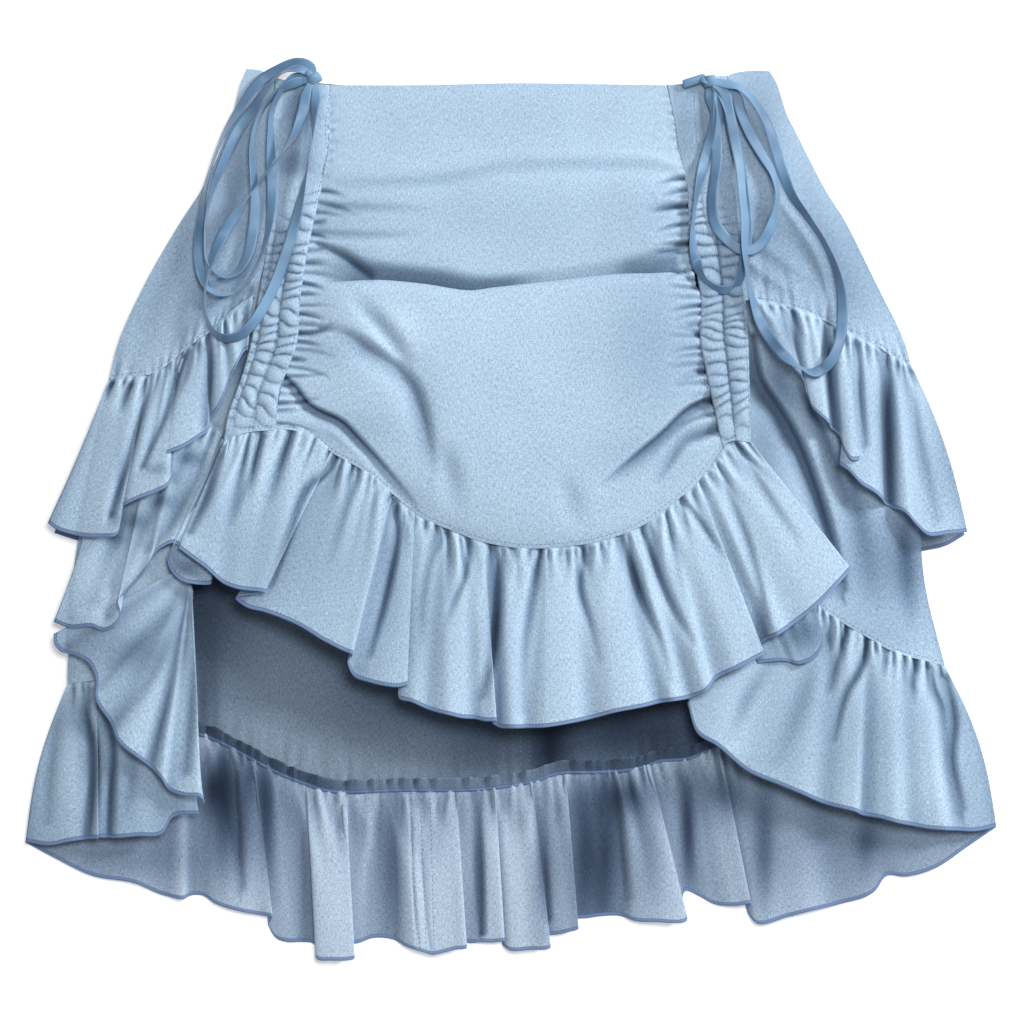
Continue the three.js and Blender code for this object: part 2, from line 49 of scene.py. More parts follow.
# %% [markdown]
# ## The photograph's grid and the camera
# Places are easiest to read off the photograph, where one pixel is 0.64 mm of the skirt, so a
# helper turns such a place into millimetres on the table. A long lens 3 m up sees the skirt
# almost without perspective, as the photograph does.

# %% Camera straight above the skirt
PIXEL = 0.64
PHOTO_SIZE = 1024
MIDDLE_PX, MIDDLE_PY = 511, 514.5
VIEW_WIDTH = 0.6554
CAMERA_HEIGHT = 3.0
MIDDLE_HEIGHT = 0.015


def at(px, py):
    """A place in the photograph's grid, in millimetres on the table"""
    x = (np.asarray(px, float) - MIDDLE_PX) * PIXEL
    y = (MIDDLE_PY - np.asarray(py, float)) * PIXEL
    return np.stack([x, y], axis=-1)


camera_data = bpy.data.cameras.new("overhead_camera")
camera_data.lens = camera_data.sensor_width * CAMERA_HEIGHT / VIEW_WIDTH
camera_data.clip_end = 30
camera = bpy.data.objects.new("overhead_camera", camera_data)
camera.location = (*at(PHOTO_SIZE / 2, PHOTO_SIZE / 2) * MM, CAMERA_HEIGHT + MIDDLE_HEIGHT)
bpy.context.scene.collection.objects.link(camera)
bpy.context.scene.camera = camera
print("lens", round(camera_data.lens, 1), "mm")

# %% [markdown]
# ## Heights of the layers
# Cloth on cloth has no gaps to speak of, but the front stands over the back, because folds hold
# it up. One table says how wide the body is at each height of the skirt, and another how high
# the front stands there.

# %% Layer heights
BODY_EDGE = np.array([
    (-210, -312, 312), (-160, -303, 306), (-125, -294, 294), (-98, -285.5, 280), (-46, -283, 267),
    (0, -276, 263), (87, -258, 258), (112, -251.5, 252), (150, -234, 233.5), (188, -212, 214.5),
    (208, -199, 202), (227, -189.5, 192), (246, -182, 182.5), (257, -178.5, 177),
    (277, -173.5, 170.5), (286, -170, 166),
])
PUFF = np.array([(-215, 9), (-150, 13), (-60, 15), (50, 13), (150, 9), (230, 4), (286, 0.8)])
SIDE_EASE = 60
BACK_LEVEL = 3
SIDE_LEVEL = 4.6
CHANNEL_LEVEL = 5.2
TIER_LEVEL = 6.2
CASCADE_LEVEL = 6.4
TURN_LEVEL = 9.2
FRONT_RISE = 7.8
RIBBON_LEVEL = 8.6


def smooth(low, high, value):
    """A soft step from 0 to 1 between two values"""
    share = np.clip((value - low) / (high - low), 0, 1)
    return share * share * (3 - 2 * share)


def puff(x, y):
    """How high the front stands over the back"""
    left = x - np.interp(y, BODY_EDGE[:, 0], BODY_EDGE[:, 1])
    right = np.interp(y, BODY_EDGE[:, 0], BODY_EDGE[:, 2]) - x
    ease = np.sin(np.pi / 2 * np.clip(np.minimum(left, right) / SIDE_EASE, 0, 1))
    return np.interp(y, PUFF[:, 0], PUFF[:, 1]) * ease


print("front stands", puff(np.array([0.0]), np.array([-60.0])), "mm up at its highest")

# %% [markdown]
# ## Soft lines
# Seams, ribbons and folds are all soft lines through a few points. A centripetal curve passes
# through its points without loops, and walking it in even steps gives evenly spaced cloth.


# %% A soft line, walked evenly
def walk_along(line):
    """The distance from the start of a line to each of its points"""
    return np.concatenate([[0], np.cumsum(np.linalg.norm(np.diff(line, axis=0), axis=1))])


def strand(points, count):
    """Evenly spaced places on a soft curve through the points, of any number of columns"""
    p = np.asarray(points, float)
    p = np.vstack([2 * p[0] - p[1], p, 2 * p[-1] - p[-2]])
    pieces = []
    for a, b, c, d in zip(p, p[1:], p[2:], p[3:]):
        t1 = max(np.linalg.norm(b - a), 1e-6) ** 0.5
        t2 = t1 + max(np.linalg.norm(c - b), 1e-6) ** 0.5
        t3 = t2 + max(np.linalg.norm(d - c), 1e-6) ** 0.5
        t = np.linspace(t1, t2, 12, endpoint=False)[:, None]
        ab = (t1 - t) / t1 * a + t / t1 * b
        bc = (t2 - t) / (t2 - t1) * b + (t - t1) / (t2 - t1) * c
        cd = (t3 - t) / (t3 - t2) * c + (t - t2) / (t3 - t2) * d
        abc = (t2 - t) / t2 * ab + t / t2 * bc
        bcd = (t3 - t) / (t3 - t1) * bc + (t - t1) / (t3 - t1) * cd
        pieces.append((t2 - t) / (t2 - t1) * abc + (t - t1) / (t2 - t1) * bcd)
    dense = np.vstack([*pieces, p[-2:-1]])
    walked = walk_along(dense)
    steps = np.linspace(0, walked[-1], count)
    return np.stack([np.interp(steps, walked, dense[:, k]) for k in range(p.shape[1])], axis=1)


def length_of(line):
    return float(np.linalg.norm(np.diff(line, axis=0), axis=1).sum())


def flow(knots, values, where):
    """A smooth run through rows of values at uneven knots, with no wild swings"""
    shape = (-1, *[1] * (values.ndim - 1))
    gaps = np.diff(knots)
    slopes = np.diff(values, axis=0) / gaps.reshape(shape)
    before, after = gaps[:-1].reshape(shape), gaps[1:].reshape(shape)
    inner = (slopes[:-1] * after + slopes[1:] * before) / (before + after)
    leans = np.concatenate([slopes[:1], inner, slopes[-1:]])
    cell = np.clip(np.searchsorted(knots, where, side="right") - 1, 0, len(gaps) - 1)
    gap = gaps[cell].reshape(shape)
    t = ((where - knots[cell]) / gaps[cell]).reshape(shape)
    return (
        (2 * t**3 - 3 * t**2 + 1) * values[cell]
        + (t**3 - 2 * t**2 + t) * gap * leans[cell]
        + (3 * t**2 - 2 * t**3) * values[cell + 1]
        + (t**3 - t**2) * gap * leans[cell + 1]
    )


# %% [markdown]
# ## A length of cloth
# Woven cloth is a grid of threads, so every piece starts as a bmesh grid whose points are then
# laid where the cloth lies. Its UV map is measured on the cloth in metres, along the hem and up
# from it, so that the weave and the stitched hem follow every fold. A second value per point
# says how much light a fold keeps out.


# %% From a mesh to a piece
def mesh_from(name, bm):
    mesh = bpy.data.meshes.new(name)
    bm.to_mesh(mesh)
    bm.free()
    return mesh


def piece_from(name, mesh, thickness=0.0):
    """A smooth piece at the origin, with its place in its mesh; its wall is in mm"""
    mesh.polygons.foreach_set("use_smooth", np.ones(len(mesh.polygons), dtype=bool))
    mesh.update()
    piece = bpy.data.objects.new(name, mesh)
    bpy.context.scene.collection.objects.link(piece)
    if thickness:
        wall = piece.modifiers.new("thickness", "SOLIDIFY")
        wall.thickness = thickness * MM
        wall.offset = -1
    print(name, len(mesh.polygons), "faces")
    return piece


# %% The light that folds keep out
def below(spots, reach):
    """How far each place lies below the cloth around it, in mm, by a moving average both ways"""
    around = spots[..., 2]
    for axis in (0, 1):
        pitch = np.linalg.norm(np.diff(spots, axis=axis), axis=2).mean()
        count = max(1, int(reach / pitch))
        edge = [(count + 1, count) if k == axis else (0, 0) for k in (0, 1)]
        total = np.cumsum(np.pad(around, edge, mode="edge"), axis=axis)
        size = around.shape[axis]
        upper = np.take(total, range(2 * count + 1, 2 * count + 1 + size), axis=axis)
        around = (upper - np.take(total, range(size), axis=axis)) / (2 * count + 1)
    return around - spots[..., 2]


def hollows(spots):
    """The share of light at each place: little in a narrow valley, more on a ridge"""
    near, far = below(spots, 4.5), below(spots, 16)
    dark = 0.5 * np.clip(near / 2.2, 0, 1) + 0.24 * np.clip(far / 5, 0, 1)
    return (1 - dark) * (1 + 0.09 * np.clip(-near / 1.6, 0, 1))


# %% A grid of cloth
LOWEST = 0.3


def cloth(name, spots, shade=1.0, thickness=0.0):
    """A cloth piece from rows of places in mm: the last row first, as the grid counts its points.
    Nothing goes below LOWEST, so that no fold sinks into the table."""
    down, across = spots.shape[0] - 1, spots.shape[1] - 1
    spots = np.concatenate([spots[..., :2], np.maximum(spots[..., 2:], thickness + LOWEST)], axis=2)
    bm = bmesh.new()
    bmesh.ops.create_grid(bm, x_segments=across, y_segments=down, size=0.5)
    mesh = mesh_from(name, bm)
    mesh.vertices.foreach_set("co", (spots[::-1] * MM).ravel())
    along = np.cumsum(np.linalg.norm(np.diff(spots, axis=1), axis=2).mean(axis=0))
    along = np.concatenate([[0], along]) + np.zeros((down + 1, 1))
    upward = spots[::-1]
    rise = np.cumsum(np.linalg.norm(np.diff(upward, axis=0), axis=2), axis=0)
    rise = np.concatenate([np.zeros((1, across + 1)), rise])
    uv = np.stack([along, rise], axis=2).reshape(-1, 2) * MM
    corner = np.empty(len(mesh.loops), dtype=np.int32)
    mesh.loops.foreach_get("vertex_index", corner)
    layer = mesh.uv_layers.new(name="cloth")
    layer.data.foreach_set("uv", uv[corner].ravel())
    tone = mesh.attributes.new("shade", "FLOAT", "POINT")
    values = hollows(spots) * shade
    tone.data.foreach_set("value", values[::-1].ravel().astype(np.float32))
    return piece_from(name, mesh, thickness)


# %% [markdown]
# ## The drawstrings
# Each casing is drawn up by a narrow satin ribbon, knotted at the waist, whose loops hang down
# over the cloth. Both ends of a loop go back into its knot. A ribbon could be a curve with a
# flat profile, but a strip of cloth can also roll from side to side, which is what makes satin
# shine in one place and go dull in the next.

# %% Routes of the ribbon loops, in mm
RIBBON_WIDTH = 7
RIBBON_THICKNESS = 0.35
RIBBON_STEP = 1.6
LOOPS = {
    "ribbon_left_loop_outer": (0, [
        (-127.5, 286.5), (-137, 289.5), (-150, 284.5), (-161, 277.5), (-172, 263), (-181.5, 248),
        (-188.5, 232.5), (-195, 212), (-198.5, 190), (-200, 172), (-198.5, 156), (-194, 145.5),
        (-185, 140.5), (-176, 142), (-167.5, 150), (-160, 164), (-155, 182), (-153, 202),
        (-153.5, 222), (-154, 243), (-153, 259), (-147, 271.5), (-138, 280),
    ]),
    "ribbon_left_loop_middle": (1, [
        (-134, 285), (-145, 283.5), (-155, 275), (-167, 257.5), (-175, 246), (-181, 233),
        (-187, 219), (-191.5, 207), (-194.5, 195), (-196, 179), (-194, 162), (-184, 152.5),
        (-175.5, 154.5), (-168.5, 165), (-165, 182), (-163.5, 201), (-165, 219), (-166, 233),
        (-164, 248), (-158, 261.5), (-149, 271), (-137.5, 277),
    ]),
    "ribbon_left_loop_long": (2, [
        (-125, 271.5), (-125.5, 259), (-126.5, 243), (-129, 227), (-133, 207.5), (-137.5, 188.5),
        (-143, 169), (-149.5, 150), (-157, 134), (-165, 121.5), (-173.5, 114), (-182.5, 112.5),
        (-190, 117), (-194.5, 127), (-195.5, 138), (-194, 150), (-190, 166), (-184, 179),
        (-175, 193), (-165.5, 206.5), (-156, 219), (-146.5, 231), (-138.5, 243.5), (-133.5, 257),
        (-131, 270),
    ]),
    "ribbon_right_loop_inner": (0, [
        (127, 269), (130, 257), (128, 243), (124.5, 229), (120, 211), (117, 193), (116, 177),
        (118, 163), (122.5, 152), (128, 146), (134.5, 143.5), (142, 145), (147.5, 155),
        (150, 169), (151, 185), (150, 201), (148, 217), (144.5, 233), (141, 249), (137, 262),
        (134, 270.5),
    ]),
    "ribbon_right_loop_middle": (1, [
        (132, 271), (132.5, 259), (131.5, 243), (131.5, 225), (129, 208), (128.5, 196),
        (131, 185), (138, 176), (147, 169.5), (156, 170), (163, 178), (168, 190), (170.5, 205),
        (168, 218), (161, 230), (153, 244), (147.5, 257), (143, 269),
    ]),
    "ribbon_right_loop_outer": (2, [
        (135.5, 276), (146, 273.5), (156, 264), (163.5, 251), (169, 235), (174, 219), (180, 204),
        (189, 191), (199, 176), (206.5, 160), (211, 143), (211.5, 127), (209.5, 111), (203, 97),
        (194, 90.5), (183, 94), (172.5, 103), (161, 119), (154.5, 136), (151, 152), (149, 170),
        (149.5, 188), (148, 206), (146, 225), (142.5, 243), (139, 260), (136.5, 270),
    ]),
}
ROLL = 0.8
FIRST_SEED = 40
KNOT_LEFT, KNOT_RIGHT = (-127, 279), (127, 277.5)
TIER_GAP = 1.6
# Where a loop turns on its edge: (share of its length, reach, turn in radians)
TWISTS = {
    "ribbon_right_loop_outer": [(0.3, 0.07, 1.15), (0.54, 0.03, 1.25), (0.7, 0.07, 1.2)],
    "ribbon_right_loop_middle": [(0.64, 0.1, 1.1)],
    "ribbon_right_loop_inner": [(0.45, 0.04, 1.1)],
}


def ribbon_ground(x, y):
    """The height of the cloth that the ribbons lie on"""
    return puff(x, np.minimum(y, 284)) + RIBBON_LEVEL + 6.5 * smooth(0, 50, 140 - y)


def ribbon(name, tier, points, seed):
    """A loop of ribbon, the line down its middle in metres, and that line's length"""
    draw = np.random.default_rng(seed)
    heart = KNOT_LEFT if "left" in name else KNOT_RIGHT
    points = [heart, *points, heart]
    length = length_of(strand(points, 400))
    count = int(length / RIBBON_STEP)
    route = strand(points, count)
    way = np.gradient(route, axis=0)
    way /= np.linalg.norm(way, axis=1)[:, None]
    walked = np.linspace(0, length, count)
    turns = sum(
        draw.uniform(0.3, 1) * np.sin(walked / draw.uniform(18, 55) + draw.uniform(0, 6.3))
        for _ in range(3)
    )
    roll = ROLL * turns * smooth(0, 25, walked) * smooth(0, 25, length - walked)
    for place, reach, turned in TWISTS.get(name, []):
        held = np.exp(-(((walked / length - place) / reach) ** 2))
        roll = roll * (1 - held) + turned * held
    pinch = 0.6 + 0.4 * smooth(3, 14, walked) * smooth(3, 14, length - walked)
    side = np.linspace(-0.5, 0.5, 7)[None, :] * RIBBON_WIDTH * pinch[:, None]
    x = route[:, 0:1] - way[:, 1:2] * side * np.cos(roll)[:, None]
    y = route[:, 1:2] + way[:, 0:1] * side * np.cos(roll)[:, None]
    ground = ribbon_ground(route[:, 0], route[:, 1]) + tier * TIER_GAP + 0.7
    lean = side * np.sin(roll)[:, None]
    z = ground[:, None] + lean + np.abs(lean).max(axis=1)[:, None] * 0.8
    spots = np.stack([x, y, z], axis=2)
    piece = cloth(f"{name}_satin", spots[:, ::-1], thickness=RIBBON_THICKNESS)
    path = np.stack([route[:, 0], route[:, 1], z.mean(axis=1)], axis=1)[::3] * MM
    return piece, path, length_of(np.vstack([path, path[-1:]]))


ribbons = []
for number, (solid, (tier, points)) in enumerate(LOOPS.items()):
    piece, path, length = ribbon(solid, tier, points, FIRST_SEED + number)
    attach(piece, "root")
    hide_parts(solid)
    ribbons.append(piece)
    print(solid, round(length, 3), "m")

# %% [markdown]
# ## The knots
# A ribbon knot is a few turns of the ribbon pulled tight. A rounded lump would read as a bead, so
# each knot is two or three short bands of ribbon wrapped round one another, over a small core
# that closes the gaps between them.


# %% A band of ribbon round the knot
BAND_STEPS = 40
BAND_CROWN = 0.7


def knot_band(bm, centre, turn, long, high, width, lean):
    """One closed band round the knot: a flat loop of ribbon with crowned faces"""
    turned = Matrix.Rotation(turn, 3, "Z")
    edges = []
    for step in range(BAND_STEPS):
        angle = 2 * np.pi * step / BAND_STEPS
        point = Vector((long * np.cos(angle), 0, high * np.sin(angle)))
        out = Vector((np.cos(angle), 0, np.sin(angle)))
        side = Vector((0.0, 1.0, lean * np.sin(angle))).normalized()
        row = []
        for share in np.linspace(-1, 1, 7):
            crown = out * BAND_CROWN * (1 - share * share)
            place = point + side * share * width / 2 + crown
            row.append(bm.verts.new((turned @ place + Vector(centre)) * MM))
        edges.append([bm.edges.new((a, b)) for a, b in zip(row, row[1:])])
    for a, b in zip(edges, edges[1:] + edges[:1]):
        bmesh.ops.bridge_loops(bm, edges=a + b)


def knot(name, centre, half, bands):
    """Bands (turn, half length, half height, width, lean, shift x, shift y) round a small core"""
    bm = bmesh.new()
    for turn, long, high, width, lean, dx, dy in bands:
        knot_band(bm, (centre[0] + dx, centre[1] + dy, centre[2]), turn, long, high, width, lean)
    core = bmesh.ops.create_uvsphere(bm, u_segments=20, v_segments=12, radius=1)["verts"]
    for vert in core:
        vert.co = (Vector([v * h for v, h in zip(vert.co, half)]) + Vector(centre)) * MM
    bmesh.ops.recalc_face_normals(bm, faces=bm.faces[:])
    return piece_from(name, mesh_from(name, bm), RIBBON_THICKNESS)


knots = [
    knot("ribbon_left_knot_turns", (-126, 279, 12.4), (2.6, 2, 1.8), [
        (0.5, 4.2, 3.2, 6.5, 0.3, 0, 0), (-0.9, 4.4, 2.5, 4.5, -0.4, -1.6, 1.2),
    ]),
    knot("ribbon_right_knot_turns", (126, 277.5, 11.8), (4.4, 3, 2), [
        (0.12, 3.6, 3.4, 7.5, 0.25, 1.5, 0), (-0.5, 4.2, 2.6, 5.5, -0.4, -1, 0.5),
        (0.3, 7.2, 1.4, 5.5, 0.1, -8.5, 0.4),
    ]),
]
for piece, solid in zip(knots, ("ribbon_left_knot", "ribbon_right_knot")):
    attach(piece, "root")
    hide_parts(solid)

# %% [markdown]
# ## Ways to lay cloth
# Three helpers lay nearly all of the skirt. A panel is a patch between four edge lines. A ruffle
# is a row of fold lines that run from its seam to its hem, some of them tucked back under the
# fold before them. A crease is a line along which the cloth sinks, and it fades at its ends.


# %% Panels between four edges
def patch(top, bottom, left, right, across, down):
    """Places of a panel between four edge lines, in rows from the top"""
    top, bottom = strand(top, across + 1), strand(bottom, across + 1)
    left = strand([top[0], *left[1:-1], bottom[0]], down + 1)
    right = strand([top[-1], *right[1:-1], bottom[-1]], down + 1)
    u = np.linspace(0, 1, across + 1)[None, :, None]
    v = np.linspace(0, 1, down + 1)[:, None, None]
    sides = (1 - u) * left[:, None] + u * right[:, None]
    ends = (1 - v) * top[None] + v * bottom[None]
    corners = (
        (1 - v) * ((1 - u) * top[0] + u * top[-1]) + v * ((1 - u) * bottom[0] + u * bottom[-1])
    )
    return sides + ends - corners


def lifted(flat, z):
    """Flat places given their heights"""
    return np.concatenate([flat, z[..., None]], axis=2)


def moved(points, dx):
    return [(x + dx, y) for x, y in points]


def body_edge(side, top, bottom, inset):
    """The body's side edge from top to bottom, a little inside it"""
    column, inward = (1, inset) if side == "left" else (2, -inset)
    inner = [y for y in BODY_EDGE[::-1, 0] if bottom + 4 < y < top - 4]
    heights = [top, *inner, bottom]
    return [(np.interp(y, BODY_EDGE[:, 0], BODY_EDGE[:, column]) + inward, y) for y in heights]


# %% Creases
def on_table(points):
    """Points (px, py, height) with their places in mm"""
    points = np.asarray(points, float)
    return np.concatenate([at(points[:, 0], points[:, 1]), points[:, 2:3]], axis=1)


CREASE_DEPTH = 2.6


def creases(x, y, lines):
    """How far the cloth sinks at each place. A line is (points, width on its left, width on its
    right), and its points are (px, py, depth) in the photograph's grid."""
    drop = np.zeros(x.shape)
    for points, left_width, right_width in lines:
        route = strand(on_table(points), 20)
        reach = 3 * max(left_width, right_width)
        low, high = route[:, :2].min(axis=0) - reach, route[:, :2].max(axis=0) + reach
        near = (x > low[0]) & (x < high[0]) & (y > low[1]) & (y < high[1])
        if not near.any():
            continue
        spot = np.stack([x[near], y[near]], axis=1)[:, None]
        start, run = route[None, :-1, :2], np.diff(route[:, :2], axis=0)[None]
        share = np.clip(((spot - start) * run).sum(axis=2) / (run**2).sum(axis=2), 0, 1)
        gap = spot - start - share[..., None] * run
        distance = np.linalg.norm(gap, axis=2)
        best = distance.argmin(axis=1)
        rows = np.arange(len(best))
        d, t = distance[rows, best], share[rows, best]
        side = run[0, best, 0] * gap[rows, best, 1] - run[0, best, 1] * gap[rows, best, 0]
        depth = route[best, 2] * (1 - t) + route[best + 1, 2] * t
        width = np.where(side > 0, left_width, right_width)
        drop[near] += CREASE_DEPTH * depth * np.exp(-((d / width) ** 2))
    return drop


# %% Shade
def dim(x, y, spots):
    """The share of light at each place, painted: soft shadows, and soft pools of light where kept
    is over 1 (px, py, radius x, radius y, kept)
    """
    light = np.ones(x.shape)
    for px, py, wide, high, kept in spots:
        middle = at(px, py)
        far = ((x - middle[0]) / (wide * PIXEL)) ** 2 + ((y - middle[1]) / (high * PIXEL)) ** 2
        light *= 1 - (1 - kept) * np.exp(-far)
    return light


# %% Gathers along a seam
def gathers(along, away, seed, depth, reach, spacing=6.5):
    """Fine folds that start at a seam and fade into the cloth; along and away are in mm"""
    draw = np.random.default_rng(seed)
    total = along.max()
    height = np.zeros(np.broadcast(along, away).shape)
    place = draw.uniform(1, 4)
    while place < total:
        width = draw.uniform(0.8, 1.9)
        fade = reach * draw.uniform(0.35, 1.0) * (2.2 if draw.random() < 0.3 else 1)
        sink = 2.3 * depth * draw.uniform(0.5, 1.3)
        spread = width * (1 + away / 14)
        drift = draw.uniform(-0.09, 0.09) * away
        off = (along - place - drift) / spread
        held = np.exp(-((away / fade) ** 2))
        rim, valley = np.exp(-((np.abs(off) - 2.1) ** 2)), np.exp(-(np.abs(off) ** 1.4))
        height += sink * held * (0.4 * rim - valley)
        place += spacing * draw.uniform(0.55, 1.5)
    return height


# %% Ruffles of fold lines
FOLD_LIFT = 1.3
FOLD_POWER = 0.8
RUFFLE_THICKNESS = 0.5
SEAM_TUCK = 2.2
HOLLOW_SHADE = 0.34


def ruffle(name, rows, height, down, seed, *, spacing=1.4, depth=1.2, reach=26, lines=(),
           shadows=(), seam_drop=0.3):
    """A ruffle from fold lines (seam px, seam py, hem px, hem py, lift in mm[, bow in mm])"""
    table = np.array([tuple(row) + (0,) * (6 - len(row)) for row in rows], float)
    seam, hem_line = at(table[:, 0], table[:, 1]), at(table[:, 2], table[:, 3])
    ends = np.concatenate([seam, hem_line, table[:, 4:6]], axis=1)
    moves = np.diff(ends, axis=0) ** 2
    step = np.sqrt(moves[:, 2:5].sum(axis=1) + 0.2 * moves[:, :2].sum(axis=1))
    knots_at = np.concatenate([[0], np.cumsum(np.maximum(step, 0.5))])
    columns = [
        np.linspace(a, b, max(3, int((b - a) / spacing)), endpoint=False)
        for a, b in zip(knots_at, knots_at[1:])
    ]
    columns = np.concatenate([*columns, knots_at[-1:]])
    laid = flow(knots_at, ends, columns)
    start, end = laid[None, :, 0:2], laid[None, :, 2:4]
    lift, bow = laid[None, :, 4], laid[None, :, 5]
    v = np.linspace(0, 1, down + 1)[:, None]
    run = end - start
    long = np.linalg.norm(run, axis=2)
    start = start - run / long[..., None] * SEAM_TUCK
    run, long = end - start, long + SEAM_TUCK
    across = np.stack([-run[..., 1], run[..., 0]], axis=2) / long[..., None]
    flat = start + run * v[..., None] + across * (bow * np.sin(np.pi * v))[..., None]
    along = walk_along(laid[:, :2])[None]
    away = np.maximum(v * long - SEAM_TUCK, 0)
    fine = gathers(along, away, seed, depth=depth, reach=reach)
    x, y = flat[..., 0], flat[..., 1]
    sink = creases(x, y, lines)
    z = height(x, y, v) + FOLD_LIFT * np.maximum(lift, 0) * v**FOLD_POWER
    z += fine * smooth(0, 3, away) - sink
    z -= (seam_drop + 0.5 * (v * long < SEAM_TUCK)) * (1 - smooth(0, 2, away))
    # Painted shade: darker in the valleys of the gathers, the creases and the low folds, and under
    # the given soft shadows; a little lighter on the gathers' ridges.
    hollow = np.clip(1 - lift / 4.2, 0, 1) ** 1.3 * smooth(0, 0.3, v)
    tone = (1 + 0.13 * np.clip(fine, -3, 0.6)) * (1 - 0.07 * np.clip(sink, 0, 5))
    tone = tone * (1 - HOLLOW_SHADE * hollow) * dim(x, y, shadows)
    return cloth(name, lifted(flat, z), tone, RUFFLE_THICKNESS)


# %% [markdown]
# ## The back of the skirt
# The back of the body and its ruffle show their inside below the front hem. The inside of
# chambray is greyer, and the front keeps the light off it: the colour of the inside is darker
# than the greyer wrong side alone, as painted shade, and each place gets more painted shade
# under the front. The two back halves meet in a seam left of the middle of the opening, and the
# gathered seam of the back ruffle stands up as a small overlocked frill.

# %% Back body, inside out
CENTRE_BACK_X = 9
BACK_SEAM = [
    (-284, -108), (-244, -119), (-202, -136.5), (-173, -147.5), (-135, -168.5), (-116, -176),
    (-71, -177.5), (-7, -173), (38, -165), (83, -160), (121, -151), (185, -128), (249, -106),
    (278.5, -98),
]
INNER_SHADOWS = [
    (200, 600, 50, 70, 0.32), (204, 700, 14, 60, 0.5), (405, 700, 80, 50, 0.5),
    (485, 735, 50, 50, 0.42), (550, 750, 24, 60, 0.14),
    (630, 740, 90, 60, 0.34),
]


def under_front(x, y):
    """How much light reaches the inside of the back: less under the front hem and at its right"""
    near_hem = smooth(-175, -60, y)
    right = smooth(0, 90, x) * smooth(-175, -140, y)
    return 1.2 * (1 - 0.30 * near_hem - 0.42 * right) * dim(x, y, INNER_SHADOWS)


BACK_CREASES = [
    ([(200, 600, 0), (300, 640, 0.8), (420, 700, 0)], 9, 14),
    ([(195, 690, 0), (300, 720, 0.7), (420, 745, 0)], 7, 10),
    ([(560, 700, 0), (600, 745, 1.2), (640, 720, 0)], 6, 8),
]
back_line = strand(BACK_SEAM, 400)


def seam_part(from_x, to_x):
    inside = (back_line[:, 0] > from_x) & (back_line[:, 0] < to_x)
    return [tuple(p) for p in back_line[inside][::6]]


def back_half(name, top, bottom, left, right, across):
    flat = patch(top, bottom, left, right, across, 110)
    x, y = flat[..., 0], flat[..., 1]
    fine = gathers((x - x.min())[-1:], (y - y[-1:]), 7, depth=0.5, reach=30, spacing=9)
    rest = BACK_LEVEL * smooth(-95, -50, y) + 1.1
    z = rest + fine * 0.6 - creases(x, y, BACK_CREASES)
    return cloth(name, lifted(flat, z), under_front(x, y))


left_bottom = seam_part(-285, CENTRE_BACK_X - 0.3)
right_bottom = seam_part(CENTRE_BACK_X, 279)
back_left = back_half(
    "back_left_inside",
    [(-167, 281), (-122, 273), (-80, 271.5), (CENTRE_BACK_X + 1, 270.5)],
    [*left_bottom, (CENTRE_BACK_X + 1, left_bottom[-1][1] - 0.2)],
    body_edge("left", 282, -108, 2.5),
    [(CENTRE_BACK_X + 1, 270.5), (CENTRE_BACK_X + 1, 50), (CENTRE_BACK_X + 1, -172)],
    150,
)
back_right = back_half(
    "back_right_inside",
    [(CENTRE_BACK_X, 270.5), (85, 271.5), (126, 273), (163, 281)],
    [(CENTRE_BACK_X, right_bottom[0][1]), *right_bottom],
    [(CENTRE_BACK_X, 270.5), (CENTRE_BACK_X, 50), (CENTRE_BACK_X, -172)],
    body_edge("right", 282, -98, 2.5),
    140,
)
tier_flat = patch(
    [(-168, 281), (0, 270), (164, 281)], [(-256.5, 87), (0, 72), (256, 95)],
    body_edge("left", 281, 87, 1.5), body_edge("right", 281, 95, 1.5), 60, 40,
)
tier_back = cloth("back_of_upper_tier", lifted(tier_flat, np.full(tier_flat.shape[:2], 0.4)))

# %% [markdown]
# ## The back ruffle
# It is cut about one and a half times as long as its seam, so it falls in plates that overlap
# like shallow box pleats. Each fold line is one row; where a plate's edge is sharp, the next row
# steps back under it.

